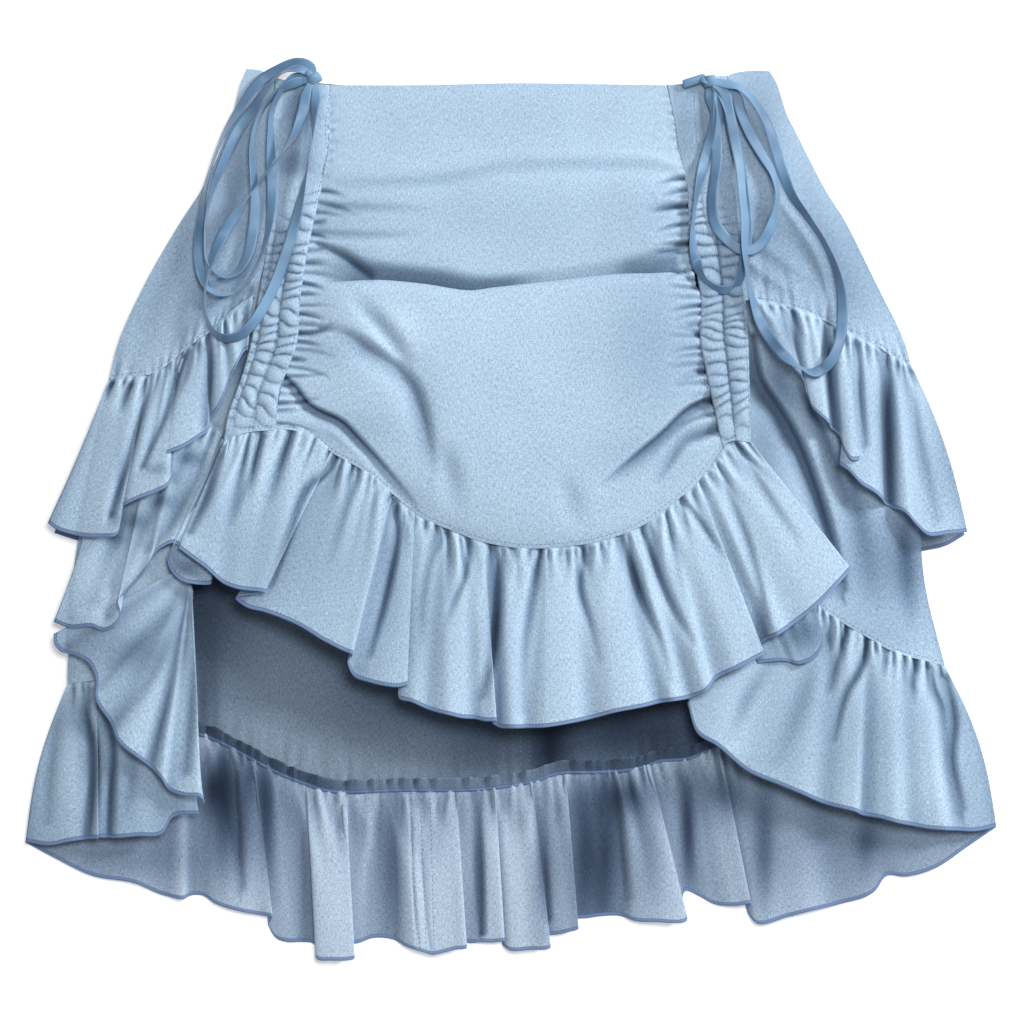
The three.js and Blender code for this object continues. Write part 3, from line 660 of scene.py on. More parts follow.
# %% Back ruffle
BACK_RUFFLE = [
    (67, 683, 23, 844, 0, -4), (89, 697, 52, 859, 1.4), (112, 713, 90, 877, 1.8),
    (144, 725, 134, 885, 2.4), (170, 735, 163, 897, 1.6), (180, 739, 184, 900, 3.2),
    (186, 741, 187, 898, 1.2), (200, 747, 200, 897, 0.4), (212, 751, 214, 905, 2.6),
    (228, 752, 240, 913, 3.8), (246, 765, 262, 917, 3.2), (252, 768, 272, 919, 4.6),
    (250, 768, 268, 925, 1.5), (256, 771, 274, 939, 0.6), (275, 778, 287, 944, 0.8),
    (290, 778, 300, 944, 0.3), (303, 781, 313, 946, 0.6), (306, 783, 316, 960, 5.5),
    (318, 788, 332, 961.5, 6.8), (338, 789, 350, 961, 6), (344, 790, 354, 960, 5.6),
    (341, 790, 350, 948, 1.2), (358, 790, 361, 944, 0.6), (378, 790, 372, 940, 0.3),
    (392, 791, 394, 942, 0.4), (399, 791, 405, 948, 3), (406, 791, 418, 952, 5.5),
    (412, 791, 428, 955, 5), (428, 791, 432, 956, 5), (447, 789, 455, 951, 5),
    (456, 788, 467, 949, 5.4), (455, 788, 463, 944, 1.5), (464, 787, 470, 945, 1),
    (472, 786, 478, 944, 2.6), (484, 785, 492, 944, 3.4), (495, 784, 505, 943, 3.8),
    (494, 784, 502, 946, 0.8), (503, 783, 508, 951, 4.2), (520, 782, 530, 951, 5.6),
    (532, 781, 551, 948, 6), (530, 781, 548, 938, 1.8), (540, 780, 558, 936, 2.8),
    (556, 779, 570, 933, 4), (566, 778, 579, 930, 4.4), (563, 778, 574, 922, 0.8),
    (574, 776, 588, 920, 0.3), (594, 773, 602, 918, 0.4), (606, 772, 622, 918, 0.8),
    (612, 772, 634, 922, 3.8), (628, 770, 655, 923, 6.2), (650, 768, 688, 920, 6.2),
    (647, 768, 683, 905, 1.2), (656, 767, 686, 893, 0.3), (672, 765, 700, 898, 0.6),
    (690, 762, 716, 906, 1.2), (700, 758, 738, 907, 4.4), (720, 752, 752, 905, 5),
    (717, 752, 748, 910, 1.2), (735, 748, 756, 924, 3.6), (760, 741, 790, 918, 3.2),
    (780, 735, 809, 913, 4.2), (800, 729, 840, 906, 1.2), (835, 716, 876, 893, 2.4),
    (858, 708, 889, 877, 1.2), (878, 700, 906, 878, 1.8), (905, 690, 936, 870, 1.8),
    (930, 682, 970, 848, 0.8), (946, 669, 998, 829, 0, 5),
]
BACK_SHADOWS = [
    (392, 860, 13, 90, 0.4), (584, 860, 11, 80, 0.4), (605, 850, 12, 100, 0.3),
    (625, 830, 9, 60, 0.7), (597, 860, 40, 90, 0.7), (222, 810, 14, 80, 0.5),
    (212, 790, 14, 34, 0.15), (224, 800, 11, 60, 0.4), (243, 800, 9, 70, 0.35),
    (262, 805, 8, 60, 0.5), (245, 780, 52, 34, 0.5),
    (268, 820, 9, 60, 0.4), (303, 870, 10, 90, 0.65), (478, 860, 6, 90, 0.5),
    (545, 870, 12, 60, 0.5), (628, 796, 34, 24, 0.25),
    (688, 820, 7, 50, 0.4), (722, 795, 36, 34, 0.35), (762, 850, 14, 60, 0.55),
    (870, 842, 110, 34, 0.8), (868, 842, 13, 34, 0.4), (120, 862, 90, 24, 0.6),
    (160, 820, 60, 50, 0.6), (450, 800, 170, 26, 0.72), (430, 840, 20, 30, 0.8),
    (800, 790, 60, 50, 0.6), (650, 850, 16, 70, 0.6),
    (588, 862, 36, 80, 0.6), (240, 835, 30, 44, 0.6), (690, 840, 7, 54, 0.5),
    (766, 850, 9, 60, 0.55), (480, 880, 8, 70, 0.6),
    (830, 860, 150, 60, 0.72), (540, 880, 9, 60, 0.75),
]
seam_px = back_line / PIXEL * (1, -1) + (MIDDLE_PX, MIDDLE_PY)
BACK_ROWS = [
    (row[0], np.interp(row[0], seam_px[:, 0], seam_px[:, 1]), *row[2:]) for row in BACK_RUFFLE
]
back_ruffle = ruffle(
    "back_ruffle_inside", BACK_ROWS, lambda x, y, v: 0.5 + 0 * x, 64, 11, reach=30,
    shadows=BACK_SHADOWS, seam_drop=0, lines=[
        ([(410, 800, 0.5), (414, 900, 0.6), (419, 950, 0.5)], 0.7, 0.7),
        ([(420, 800, 0.4), (425, 900, 0.5), (430, 950, 0.4)], 0.7, 0.7),
        ([(681, 775, 1), (688, 820, 2.2), (695, 870, 1.8), (699, 895, 1)], 3, 6),
        ([(474, 795, 1), (479, 850, 1.8), (482, 935, 1.4)], 2, 4),
        ([(536, 790, 1), (542, 850, 1.6), (548, 920, 1)], 2, 4),
        ([(585, 785, 1), (592, 850, 1.6), (600, 910, 0.8)], 3, 6),
        ([(612, 785, 1), (618, 840, 1.4), (628, 900, 0.6)], 3, 5),
        ([(230, 765, 1), (234, 820, 1.6), (240, 890, 0.8)], 3, 6),
        ([(260, 785, 1), (266, 840, 1.4), (272, 900, 0.8)], 3, 5),
    ],
)
TIER_BACK_RUFFLE = [
    (110, 379, 52, 533, 0), (136, 386, 77, 541, 0.6), (198, 392, 152, 549, 0),
    (277, 397, 245, 555, 0.8), (362, 400, 347, 560, 0), (448, 402, 448, 561, 0.8),
    (542, 401, 550, 561, 0), (636, 397, 652, 560, 0.8), (730, 389, 753, 557, 0),
    (823, 378, 855, 553, 0.8), (878, 370, 925, 551, 0), (898, 366, 950, 545, 0.6),
    (911, 366, 967, 535, 0),
]
tier_back_ruffle = ruffle(
    "back_upper_ruffle_inside", TIER_BACK_RUFFLE, lambda x, y, v: 0.4 + 0 * x, 10, 12,
    spacing=5, depth=0.2,
)

# %% Frilled seam allowance of the back ruffle
ALLOWANCE_TOP = [
    (67, 672), (112, 702), (195, 722), (215, 729), (240, 742), (262, 754), (280, 763), (300, 771),
    (330, 780), (400, 779), (480, 778), (530, 771), (560, 762), (600, 761), (640, 757),
    (660, 750), (690, 747), (705, 741), (780, 716), (860, 690), (946, 660),
]
FRILL_STEPS = 900
CRIMPS = 300
frill_line = strand(at(*zip(*ALLOWANCE_TOP)), FRILL_STEPS)
draw = np.random.default_rng(5)
walk = np.linspace(0, length_of(frill_line), FRILL_STEPS)
crimp_at = np.cumsum(draw.uniform(2.2, 4.6, CRIMPS))
wave = np.interp(walk, crimp_at, draw.uniform(-1, 1, CRIMPS) * np.tile([1, -1], CRIMPS // 2))
rows = []
for share in np.linspace(0, 1, 8):
    curl = np.stack([0.5 * wave * share, -9 * (1 - share) + 0.8 * wave * share], axis=1)
    height = 1.4 + 2.6 * share + (0.9 + 1.2 * share) * wave * (0.4 + share)
    rows.append(np.concatenate([frill_line + curl, height[:, None]], axis=1))
frill_spots = np.stack(rows[::-1])
frill_x = frill_spots[..., 0]
frill_light = 0.16 + 0.22 * smooth(-130, -90, frill_x) * (1 - smooth(15, 45, frill_x))
frill = cloth("back_seam_frill", frill_spots, frill_light, 0.4)

# %% [markdown]
# ## The sides of the body
# Under the upper tier the body goes on down to its own hem ruffle. It is plain cloth with a few
# soft folds, deepest beside the drawn-up front.

# %% Side panels
CHANNEL_LEFT_INNER = [
    (-117, 275.5), (-117, 233), (-123, 204.5), (-129.5, 175.5), (-135.5, 137.5), (-137.5, 108.5),
    (-144, 91), (-148, 79.5), (-150.5, 55.5),
]
CHANNEL_LEFT_OUTER = [
    (-151, 280.5), (-153, 239.5), (-153, 201), (-157, 163), (-162.5, 131), (-166, 108.5),
    (-172, 86), (-180, 63.5), (-183, 47.5),
]
CHANNEL_RIGHT_INNER = [
    (100.5, 275.5), (104.5, 252.5), (108, 230), (113.5, 207.5), (114.5, 179), (119, 156.5),
    (122, 137.5), (121.5, 111.5), (125, 92.5), (130.5, 67), (135, 44.5),
]
CHANNEL_RIGHT_OUTER = [
    (139, 282), (142, 239.5), (147, 201), (149, 143.5), (151, 111.5), (151.5, 79.5), (152, 48),
]
SIDE_LEFT_HEM = [
    (-284.5, -108.5), (-267, -106), (-242, -98), (-223, -80), (-208, -48), (-198, -10),
    (-190.5, 20), (-183.6, 47),
]
SIDE_RIGHT_HEM = [
    (152.5, 47), (162.5, 15.5), (175.5, -16), (185, -38.5), (198, -59), (214, -70.5), (232, -81),
    (244, -87.5), (260, -92.5), (278.5, -97),
]
SIDE_CREASES = [
    ([(751, 338, 2), (759, 380, 3.4), (773, 401, 3.6), (794, 436, 3.6), (812, 480, 3.2),
      (828, 530, 2.4), (842, 590, 1)], 3.4, 8),
    ([(790, 375, 0.6), (812, 410, 1.8), (830, 450, 1.4), (846, 500, 0.4)], 3, 6),
    ([(763, 340, 0), (780, 385, 1.6), (800, 420, 0)], 6, 6),
    ([(830, 420, 0), (848, 470, 1.6), (860, 540, 1.2), (872, 620, 0)], 7, 10),
    ([(905, 500, 0), (906, 560, 1.4), (912, 640, 0)], 6, 9),
    ([(120, 520, 0), (98, 560, 1.6), (82, 610, 1.2)], 7, 8),
    ([(160, 480, 0), (142, 520, 1.8), (120, 570, 1.6), (104, 615, 0.8)], 6, 8),
    ([(215, 440, 1), (190, 480, 2.2), (165, 520, 1.6), (150, 545, 0.6)], 5, 9),
]
SIDE_SHADOWS = [
    (895, 560, 60, 70, 0.46), (820, 420, 60, 80, 0.85), (765, 440, 20, 70, 0.65),
    (90, 560, 30, 60, 0.85), (245, 370, 12, 60, 0.3), (880, 640, 60, 20, 0.85),
    (118, 540, 14, 8, 0.6),
]


def side_panel(name, top, bottom, left, right):
    flat = patch(top, bottom, left, right, 130, 210)
    x, y = flat[..., 0], flat[..., 1]
    sink = creases(x, y, SIDE_CREASES)
    # Painted shade: darker in the creases and under the soft shadows of the sides.
    tone = (1 - 0.085 * np.clip(sink, 0, 7)) * dim(x, y, SIDE_SHADOWS)
    under_tier = 1.8 * smooth(10, 50, y) + 1.2 * smooth(98, 128, y)
    z = puff(x, y) + SIDE_LEVEL + 0.9 - 1.1 * sink - under_tier
    return cloth(name, lifted(flat, z), tone)


side_left = side_panel(
    "side_left_cloth", [(-166, 283), (-158, 281), (-151.5, 280)], SIDE_LEFT_HEM,
    body_edge("left", 283, -108.5, 1), moved(CHANNEL_LEFT_OUTER, -0.6),
)
side_right = side_panel(
    "side_right_cloth", [(139.5, 281.5), (152, 283), (162, 283.5)], SIDE_RIGHT_HEM,
    moved(CHANNEL_RIGHT_OUTER, 0.6), body_edge("right", 283.5, -97, 1),
)

# %% [markdown]
# ## Lower ruffles at the sides
# The hem ruffle runs all round. On the left it rises in a swag and spills over in a fan, called
# a cascade. On the right it turns under the front ruffle in a small loop.

# %% Lower ruffle, left and right
LOWER_LEFT = [
    (67, 684, 24, 843, 0, -5), (71, 684, 50, 846, 1), (76, 683, 68, 842, 1.6),
    (80, 682, 85, 839.5, 1), (88, 682, 93, 838.5, 2.2),
    (97, 681, 99, 838.5, 3.6), (95, 681, 96, 838, 0.6), (105, 680, 108, 838, 0.3),
    (113, 679, 113, 838, 1.4), (124, 670, 138, 836, 2), (144, 660, 162, 834, 0.8),
    (158, 648, 172, 818, 0.6), (170, 620, 199, 814, 0),
]
LOWER_RIGHT = [
    (762, 488, 687, 703, 1.6), (778, 500, 697, 733, 3.2), (791, 530, 716, 745, 5),
    (803, 565, 749, 772, 2.4), (812, 590, 780, 785, 3.2), (820, 606, 802, 794, 4.6),
    (835, 616, 825, 804, 2.2), (847, 625, 846, 809, 5), (862, 634, 857, 812, 4.6),
    (868, 637, 862, 815, 1.2), (880, 642, 880, 818, 2.4), (892, 648, 895, 822, 4),
    (905, 653, 913, 826, 1), (917, 657, 930, 829, 1.8), (926, 659, 945, 830, 3),
    (933, 662, 958, 831, 0.8), (940, 664, 975, 832, 0.8), (946, 667, 998, 828, 0, 6),
]
LOWER_LINES = [
    ([(848, 628, 1.5), (840, 650, 1.6), (828, 690, 0.6)], 2.5, 4),
    ([(868, 640, 1.5), (860, 670, 1.8), (845, 695, 1.5), (833, 740, 0.4)], 2, 4),
    ([(888, 650, 1.4), (883, 675, 0.3)], 2, 3),
    ([(918, 660, 1.4), (913, 680, 1.4), (913, 700, 0.2)], 2, 3),
    ([(931, 668, 1.5), (935, 690, 1.8), (943, 710, 1.2), (945, 735, 0.3)], 2, 4),
    ([(946, 680, 1.4), (955, 720, 2), (952, 760, 1.8), (962, 810, 1)], 3, 7),
    ([(770, 660, 0.3), (745, 700, 1.2), (730, 735, 0.4)], 5, 7),
    ([(820, 640, 0.8), (800, 700, 1.2), (775, 760, 0.5)], 7, 9),
    ([(90, 690, 1.5), (87, 715, 2.2), (94, 750, 2.4), (93, 790, 2), (88, 836, 1.2)], 3, 5),
    ([(100, 705, 0.6), (113, 745, 1.8), (111, 790, 1.8), (109, 838, 1)], 3, 3),
    ([(135, 740, 0.4), (131, 780, 1), (124, 815, 0.3)], 5, 6),
    ([(60, 700, 0.5), (50, 760, 1), (45, 820, 0.5)], 5, 6),
]


def side_height(x, y, v):
    return puff(x, y) + SIDE_LEVEL + 1


lower_left = ruffle(
    "lower_ruffle_left_cloth", LOWER_LEFT, side_height, 60, 21, reach=22, lines=LOWER_LINES,
    shadows=[(93, 770, 7, 60, 0.6), (120, 790, 20, 60, 0.75), (60, 760, 24, 60, 1.35)],
)
lower_right = ruffle(
    "lower_ruffle_right_cloth", LOWER_RIGHT, side_height, 76, 22, depth=1.3, lines=LOWER_LINES,
    shadows=[(840, 720, 60, 70, 0.78), (930, 780, 30, 40, 1.15)],
)

# %% Swag, cascade and the turn
SWAG = [
    (98.5, 441, 53, 622, 1, 5), (108, 435, 68, 628, 1.6, 2), (120, 430, 92, 627, 2.4),
    (131, 426, 105, 631, 1.4), (138, 425, 116, 625, 2.6), (147, 422, 121, 615, 3),
    (158, 420, 118, 603, 4.2), (163, 419, 125, 594, 3.6), (172, 418, 139, 579, 3),
    (184, 418, 149, 566, 4.6), (192, 420, 156, 553, 3), (206, 424, 165, 546, 3.4),
    (214, 428, 175, 543, 4.4), (222.5, 434, 184, 549, 4),
]
CASCADE = [
    (181, 569, 53, 634, 0.6), (181, 570, 54, 644, 1.2), (182, 571, 59, 651, 0.4),
    (183, 572, 74, 655, 0.8), (184, 573, 88, 662, 2.2), (184, 576, 96, 676, 3.2),
    (185, 578, 97, 700, 2.4), (186, 580, 111, 722, 1.2), (187, 581, 121, 742, 3.4),
    (188, 583, 142, 759, 3.6), (189, 585, 153, 768, 1.4), (190, 587, 163, 778, 4),
    (191, 588, 171, 790, 2), (192, 590, 186, 795, 3.6), (193, 592, 203, 797, 4),
    (194, 595, 206, 803, 1.5, -5),
]


def swag_height(x, y, v):
    return puff(x, y) + TIER_LEVEL + 0.6 + 3.6 * smooth(0.3, 1, v)


def cascade_height(x, y, v):
    return puff(x, y) + CASCADE_LEVEL + 3.4 + 1.6 * smooth(0.5, 1, v)


def turn_height(x, y, v):
    return puff(x, y) + TURN_LEVEL + 0.4


swag = ruffle(
    "swag_left_cloth", SWAG, swag_height, 54, 31, depth=0.8, reach=40,
    lines=[
        ([(200, 470, 0.5), (175, 515, 1.6), (150, 548, 1.2)], 5, 7),
        ([(165, 480, 0.3), (140, 530, 1.4), (118, 585, 1)], 5, 8),
        ([(130, 480, 0.3), (110, 540, 1.2), (92, 600, 0.9)], 6, 8),
        ([(150, 566, 0.8), (128, 590, 1.2), (112, 615, 0.8)], 3, 5),
    ],
    shadows=[
        (105, 575, 50, 50, 1.4), (134, 521, 16, 10, 0.4), (162, 501, 16, 9, 0.4),
        (118, 538, 10, 8, 0.5), (188, 458, 18, 9, 0.4), (174, 476, 9, 12, 0.5),
    ],
)
cascade = ruffle(
    "cascade_left_cloth", CASCADE, cascade_height, 70, 32, depth=0.3, reach=60,
    lines=[
        ([(186, 590, 0.8), (160, 622, 1.1), (118, 662, 1), (98, 685, 0.8)], 5, 7),
        ([(188, 598, 0.8), (168, 642, 1.1), (145, 685, 1.1), (115, 725, 0.8)], 5, 7),
        ([(190, 605, 0.6), (180, 650, 0.9), (168, 700, 0.9), (150, 760, 0.7)], 4, 7),
        ([(193, 620, 0.4), (192, 700, 1.2), (186, 770, 1)], 4, 6),
    ],
    shadows=[(135, 652, 44, 22, 0.6), (192, 700, 7, 60, 0.75)],
)
TURN = [
    (744, 641, 757, 663, 0), (765, 630, 785, 661, 0), (785, 620, 798, 664, 0.6),
    (800, 610, 812, 659, 0.8), (812, 605, 822, 645, 0.6), (813, 603, 822, 633, 0),
]
turn = ruffle(
    "ruffle_turn_cloth", TURN, turn_height, 16, 33, depth=0.3, shadows=[(800, 632, 22, 18, 0.45)],
)

# %% [markdown]
# ## The upper tier
# The tier is a short skirt over the body, open in front, with its own ruffle. Its panels hang
# from the waist behind the casings, and are drawn in towards them by the same strings.

# %% Upper tier panels
TIER_LEFT_SEAM = [
    (-258, 86.5), (-245.5, 88), (-228.5, 90.5), (-219, 96.5), (-210, 104), (-201.5, 110.5),
    (-193.5, 116), (-180, 129), (-163.5, 139.5),
]
TIER_RIGHT_SEAM = [
    (150, 137), (159.5, 136), (172, 134), (187.5, 129.5), (214, 117.5), (234, 108), (246.5, 100),
    (257, 95),
]
TIER_CREASES = [
    ([(255, 100, 0), (240, 170, 1.2), (215, 250, 1.4), (185, 330, 0.5)], 6, 9),
    ([(270, 200, 0.6), (240, 260, 1.4), (205, 310, 1.2), (180, 345, 0.4)], 5, 7),
    ([(262, 250, 1.4), (240, 290, 1.6), (214, 320, 0.6)], 3, 5),
    ([(250, 290, 1.4), (232, 310, 1), (222, 320, 0.4)], 2.5, 3.5),
    ([(225, 150, 0), (190, 230, 0.9), (150, 320, 0.8), (140, 370, 0.2)], 9, 12),
    ([(748, 240, 1.2), (775, 262, 1), (810, 285, 0.3)], 3, 6),
    ([(748, 268, 1.4), (768, 284, 1), (790, 296, 0.3)], 3, 5),
    ([(745, 200, 0.6), (790, 240, 0.9), (840, 300, 0.4)], 6, 9),
    ([(790, 130, 0), (815, 220, 0.9), (850, 300, 0.6), (870, 340, 0)], 9, 12),
]
TIER_SHADOWS = [
    (850, 270, 70, 80, 0.66), (770, 240, 26, 60, 0.7), (190, 290, 60, 60, 0.86),
    (250, 200, 30, 90, 0.75), (760, 120, 30, 60, 0.66),
]


def up_to(points, lowest, last):
    """The part of an edge line above a height, and its own last point"""
    return [*[p for p in points if p[1] > lowest + 4], last]


def tier_panel(name, top, bottom, left, right, seed):
    flat = patch(top, bottom, left, right, 110, 150)
    x, y = flat[..., 0], flat[..., 1]
    sink = creases(x, y, TIER_CREASES)
    along = walk_along(flat[-1])[None]
    away = np.linalg.norm(flat - flat[-1:], axis=2)
    fine = gathers(along, away, seed, depth=0.35, reach=12, spacing=7)
    z = puff(x, y) + TIER_LEVEL + 0.7 - 0.4 * sink + fine
    # Painted shade: darker in the creases and the gathers' valleys, a little lighter on their
    # ridges, and under the soft shadows of the tier.
    tone = (1 - 0.08 * np.clip(sink, 0, 4)) * (1 + 0.13 * np.clip(fine, -3, 0.5))
    return cloth(name, lifted(flat, z), tone * dim(x, y, TIER_SHADOWS))


tier_left = tier_panel(
    "upper_tier_left", [(-170, 286), (-163, 285.5), (-159.5, 284.5), (-151.5, 281)],
    TIER_LEFT_SEAM, body_edge("left", 286, 86.5, 0),
    up_to(moved(CHANNEL_LEFT_OUTER, -0.6), 139.5, (-163.5, 139.5)), 51,
)
tier_right = tier_panel(
    "upper_tier_right", [(139.5, 282), (146.5, 284), (162.5, 285), (166, 284.5)],
    TIER_RIGHT_SEAM, up_to(moved(CHANNEL_RIGHT_OUTER, 0.6), 137, (150, 137)),
    body_edge("right", 284.5, 95, 0), 52,
)

# %% Upper tier ruffles
UPPER_LEFT = [
    (108, 379, 47, 523, 0.5, 1), (112, 378, 55, 529, 2), (120, 378, 70, 534, 3.4),
    (128, 377, 88, 537, 4), (136, 377, 104, 537, 4.6),
    (143, 376, 116, 536, 4.6), (146, 376, 120, 532, 3), (149, 375, 116, 524, 1),
    (151, 374, 113, 516, 0.5), (154, 373, 117, 511, 1.4),
    (158, 371, 128, 504, 3.8), (163, 367, 142, 498, 4.6), (168, 364, 156, 493, 5),
    (173, 360, 169, 486, 5.2), (176, 358, 172, 480, 3.4),
    (180, 355, 160, 472, 1), (183, 352, 143, 468, 0.5), (186, 350, 152, 461, 2),
    (190, 347, 168, 454, 4.4), (195, 343, 186, 447, 5.4),
    (200, 339, 200, 438, 5), (205, 336, 210, 430, 3.4), (209, 333, 211, 420, 1.2),
    (214, 329, 218, 410, 3), (220, 323, 224, 398, 3.8),
    (227, 317, 230, 381, 2.6), (233, 312, 238, 365, 3.4), (241, 306, 245, 352, 1),
    (253, 297, 248, 350, 2),
]
UPPER_RIGHT = [
    (750, 302, 753, 318, 1), (760, 302, 775, 350, 2.2), (768, 303, 790, 366, 4),
    (780, 305, 803, 382, 4.6), (786, 307, 807, 396, 2),
    (792, 308, 811, 408, 3.6), (804, 312, 819, 416, 5.6), (815, 316, 828, 424, 5.6),
    (820, 319, 830, 428, 1.4), (828, 323, 837, 434, 0.6),
    (836, 327, 843, 450, 3.6), (845, 331, 852, 461, 5.6), (850, 334, 858, 460, 5),
    (851, 334, 850, 462, 1.6), (853, 335, 838, 464, 0.8), (855, 336, 846, 470, 3),
    (858, 338, 862, 486, 5), (866, 341, 874, 493, 5.6), (876, 346, 882, 500, 5),
    (882, 349, 885, 504, 1.2), (890, 354, 892, 508, 0.6), (894, 356, 899, 510, 3.6),
    (896, 357, 906, 514, 6), (900, 359, 916, 525, 6.2), (905, 362, 927, 535, 6.6),
    (911, 365, 948, 534, 4.2), (913, 367, 968, 532, 1, 4),
]
UPPER_LINES = [
    ([(151, 378, 1), (135, 440, 1.8), (120, 490, 1.8), (113, 515, 1.4)], 2, 4),
    ([(183, 356, 1.2), (168, 410, 1.6), (144, 466, 1.2)], 2, 4),
    ([(209, 335, 1.2), (211, 370, 1.6), (206, 425, 1)], 2, 3.5),
    ([(130, 385, 1.2), (120, 410, 0.3)], 2, 3),
    ([(110, 383, 1.2), (105, 400, 0.2)], 2, 3),
    ([(167, 364, 1.2), (158, 410, 0.8), (150, 450, 0.2)], 2, 4),
    ([(181, 357, 1.2), (174, 400, 0.8), (165, 440, 0.2)], 2, 4),
    ([(195, 345, 1.4), (188, 370, 1.2), (178, 395, 0.2)], 2, 3),
    ([(790, 312, 1.4), (795, 340, 1.6), (801, 372, 0.8)], 2.5, 4),
    ([(829, 323, 1.4), (828, 360, 2), (835, 430, 1.2)], 2.5, 4),
    ([(858, 345, 1.4), (859, 390, 1.8), (863, 445, 1)], 2.5, 4),
    ([(884, 356, 1.4), (887, 420, 2.4), (889, 505, 1.6)], 4, 6),
    ([(905, 370, 1), (918, 440, 1.2), (935, 520, 0.5)], 4, 6),
]


def tier_ruffle_height(x, y, v):
    """The ruffle stands clear of the side panel at once, and more towards its hem"""
    return puff(x, y) + TIER_LEVEL + 0.8 + 1.4 * smooth(0, 0.04, v) + 2.4 * smooth(0, 0.3, v)


upper_left = ruffle(
    "upper_ruffle_left_cloth", UPPER_LEFT, tier_ruffle_height, 64, 41, reach=24, lines=UPPER_LINES,
    shadows=[
        (190, 360, 40, 30, 0.85), (122, 490, 6, 40, 0.6), (116, 520, 6, 10, 0.6),
        (158, 469, 14, 6, 0.6), (206, 400, 8, 40, 0.75),
    ],
)
upper_right = ruffle(
    "upper_ruffle_right_cloth", UPPER_RIGHT, tier_ruffle_height, 70, 42, reach=24,
    lines=UPPER_LINES,
    shadows=[
        (865, 420, 30, 70, 0.82), (940, 480, 30, 60, 0.75), (888, 440, 9, 80, 0.7),
        (775, 335, 26, 24, 0.7), (832, 380, 7, 60, 0.8),
    ],
)

# %% [markdown]
# ## The drawn-up front
# The strings shorten the casings, so the front between them has more length than room and falls
# in pouches, the lower one over the upper one's shadow. The panel is lofted through rows that
# run from side to side; one row goes back under the pouch, which makes the cloth overhang.

# %% Front panel
FRONT_ROWS = [
    [(329, 84, 0), (420, 84, 0), (511, 82, 0), (600, 83, 0), (667, 84, 0)],
    [(328, 116, 0.8), (420, 116, 1.5), (511, 115, 1.8), (600, 115, 1.5), (674, 117, 0.8)],
    [(328, 150, 1.2), (420, 150, 3), (511, 147, 3.4), (600, 146, 3), (679, 152, 1.2)],
    [(323, 176, 1.6), (401, 174, 3.8), (448, 170, 4), (495, 160, 4), (590, 157, 4),
     (660, 160, 3.4), (685, 172, 1.6)],
    [(321, 185, 0.8), (401, 182, 2.4), (448, 178, 2.6), (495, 168, 3), (590, 165, 3),
     (660, 168, 2.4), (687, 181, 0.8)],
    [(318, 197, 1.8), (401, 195, 5), (448, 190, 5.4), (495, 181, 5.6), (590, 178, 5.6),
     (660, 180, 5), (689, 195, 1.8)],
    [(311, 222, 2), (400, 222, 7.2), (500, 222, 8), (600, 220, 8), (660, 216, 6.6), (690, 220, 2)],
    [(308, 243, 2.4), (330, 249, 5), (377, 258, 7), (424, 264, 7.2), (448, 267, 7.4),
     (472, 272, 7.2), (507, 272, 7), (560, 266, 7),
     (613, 258, 7.4), (640, 252, 7.4), (665, 247, 6.8), (691, 244, 2.4)],
    [(303, 276, 0.6), (344, 288, 0.8), (377, 288, 0.5), (424, 292, 0.8), (469, 298, 2.2),
     (495, 295, 3.6), (566, 287, 4.4),
     (613, 281, 2.6), (649, 281, 0.8), (679, 282, 0.5), (697, 290, 0.6)],
    [(302, 283, 1.2), (344, 281.5, 4), (377, 280, 5), (424, 284, 5.4), (469, 290.5, 5.8),
     (495, 287.5, 6), (566, 279.5, 6),
     (613, 274.5, 6), (649, 273.5, 5.6), (679, 274, 4.6), (698, 288, 1.4)],
    [(301, 290, 2.4), (344, 287, 7), (377, 285.5, 8.2), (424, 289, 8.6), (469, 295, 8.4),
     (495, 292.5, 8.4), (566, 285, 8.6),
     (613, 280, 8.6), (649, 279, 8.4), (679, 280, 7.6), (700, 294, 2.6)],
    [(300, 303, 2.6), (344, 303, 9.6), (420, 306, 11.6), (470, 310, 11.8), (520, 308, 11.8),
     (600, 301, 12), (670, 300, 10), (702, 306, 2.8)],
    [(297, 328, 3), (350, 334, 11), (420, 340, 14), (505, 344, 14.6), (600, 338, 14.4),
     (670, 332, 11), (702, 330, 3)],
    [(291, 358, 4), (340, 372, 11), (420, 390, 15), (505, 396, 16), (600, 390, 15.6),
     (665, 372, 12), (705, 358, 4)],
    [(283, 382, 5.4), (330, 406, 10.6), (400, 436, 14), (450, 452, 15), (505, 458, 15.6),
     (600, 450, 15), (660, 425, 12), (711, 390, 5.2)],
    [(279, 404, 7), (320, 425, 9.4), (380, 466, 11.4), (450, 502, 12.4), (505, 512, 13),
     (590, 507, 12.6), (650, 480, 11.4), (692, 448, 9.6), (716, 416, 7.2)],
    [(277, 418, 7.6), (316, 431, 8.6), (374, 469, 9.6), (446, 517, 10.2), (505, 532, 10.6),
     (594, 529, 10.4), (656, 500, 9.6), (701, 463, 8.8), (719, 432, 7.6)],
    [(276, 428, 7.8), (311, 435, 7.8), (333, 453, 7.8), (364, 471, 7.8), (393, 494, 7.8),
     (423, 518, 7.8), (456, 532, 7.8), (480, 541, 7.8), (520, 548, 7.8),
     (560, 547, 7.8), (600, 541, 7.8), (640, 526.5, 7.8), (668, 507, 7.8), (697, 482, 7.8),
     (722, 447, 7.8)],
]
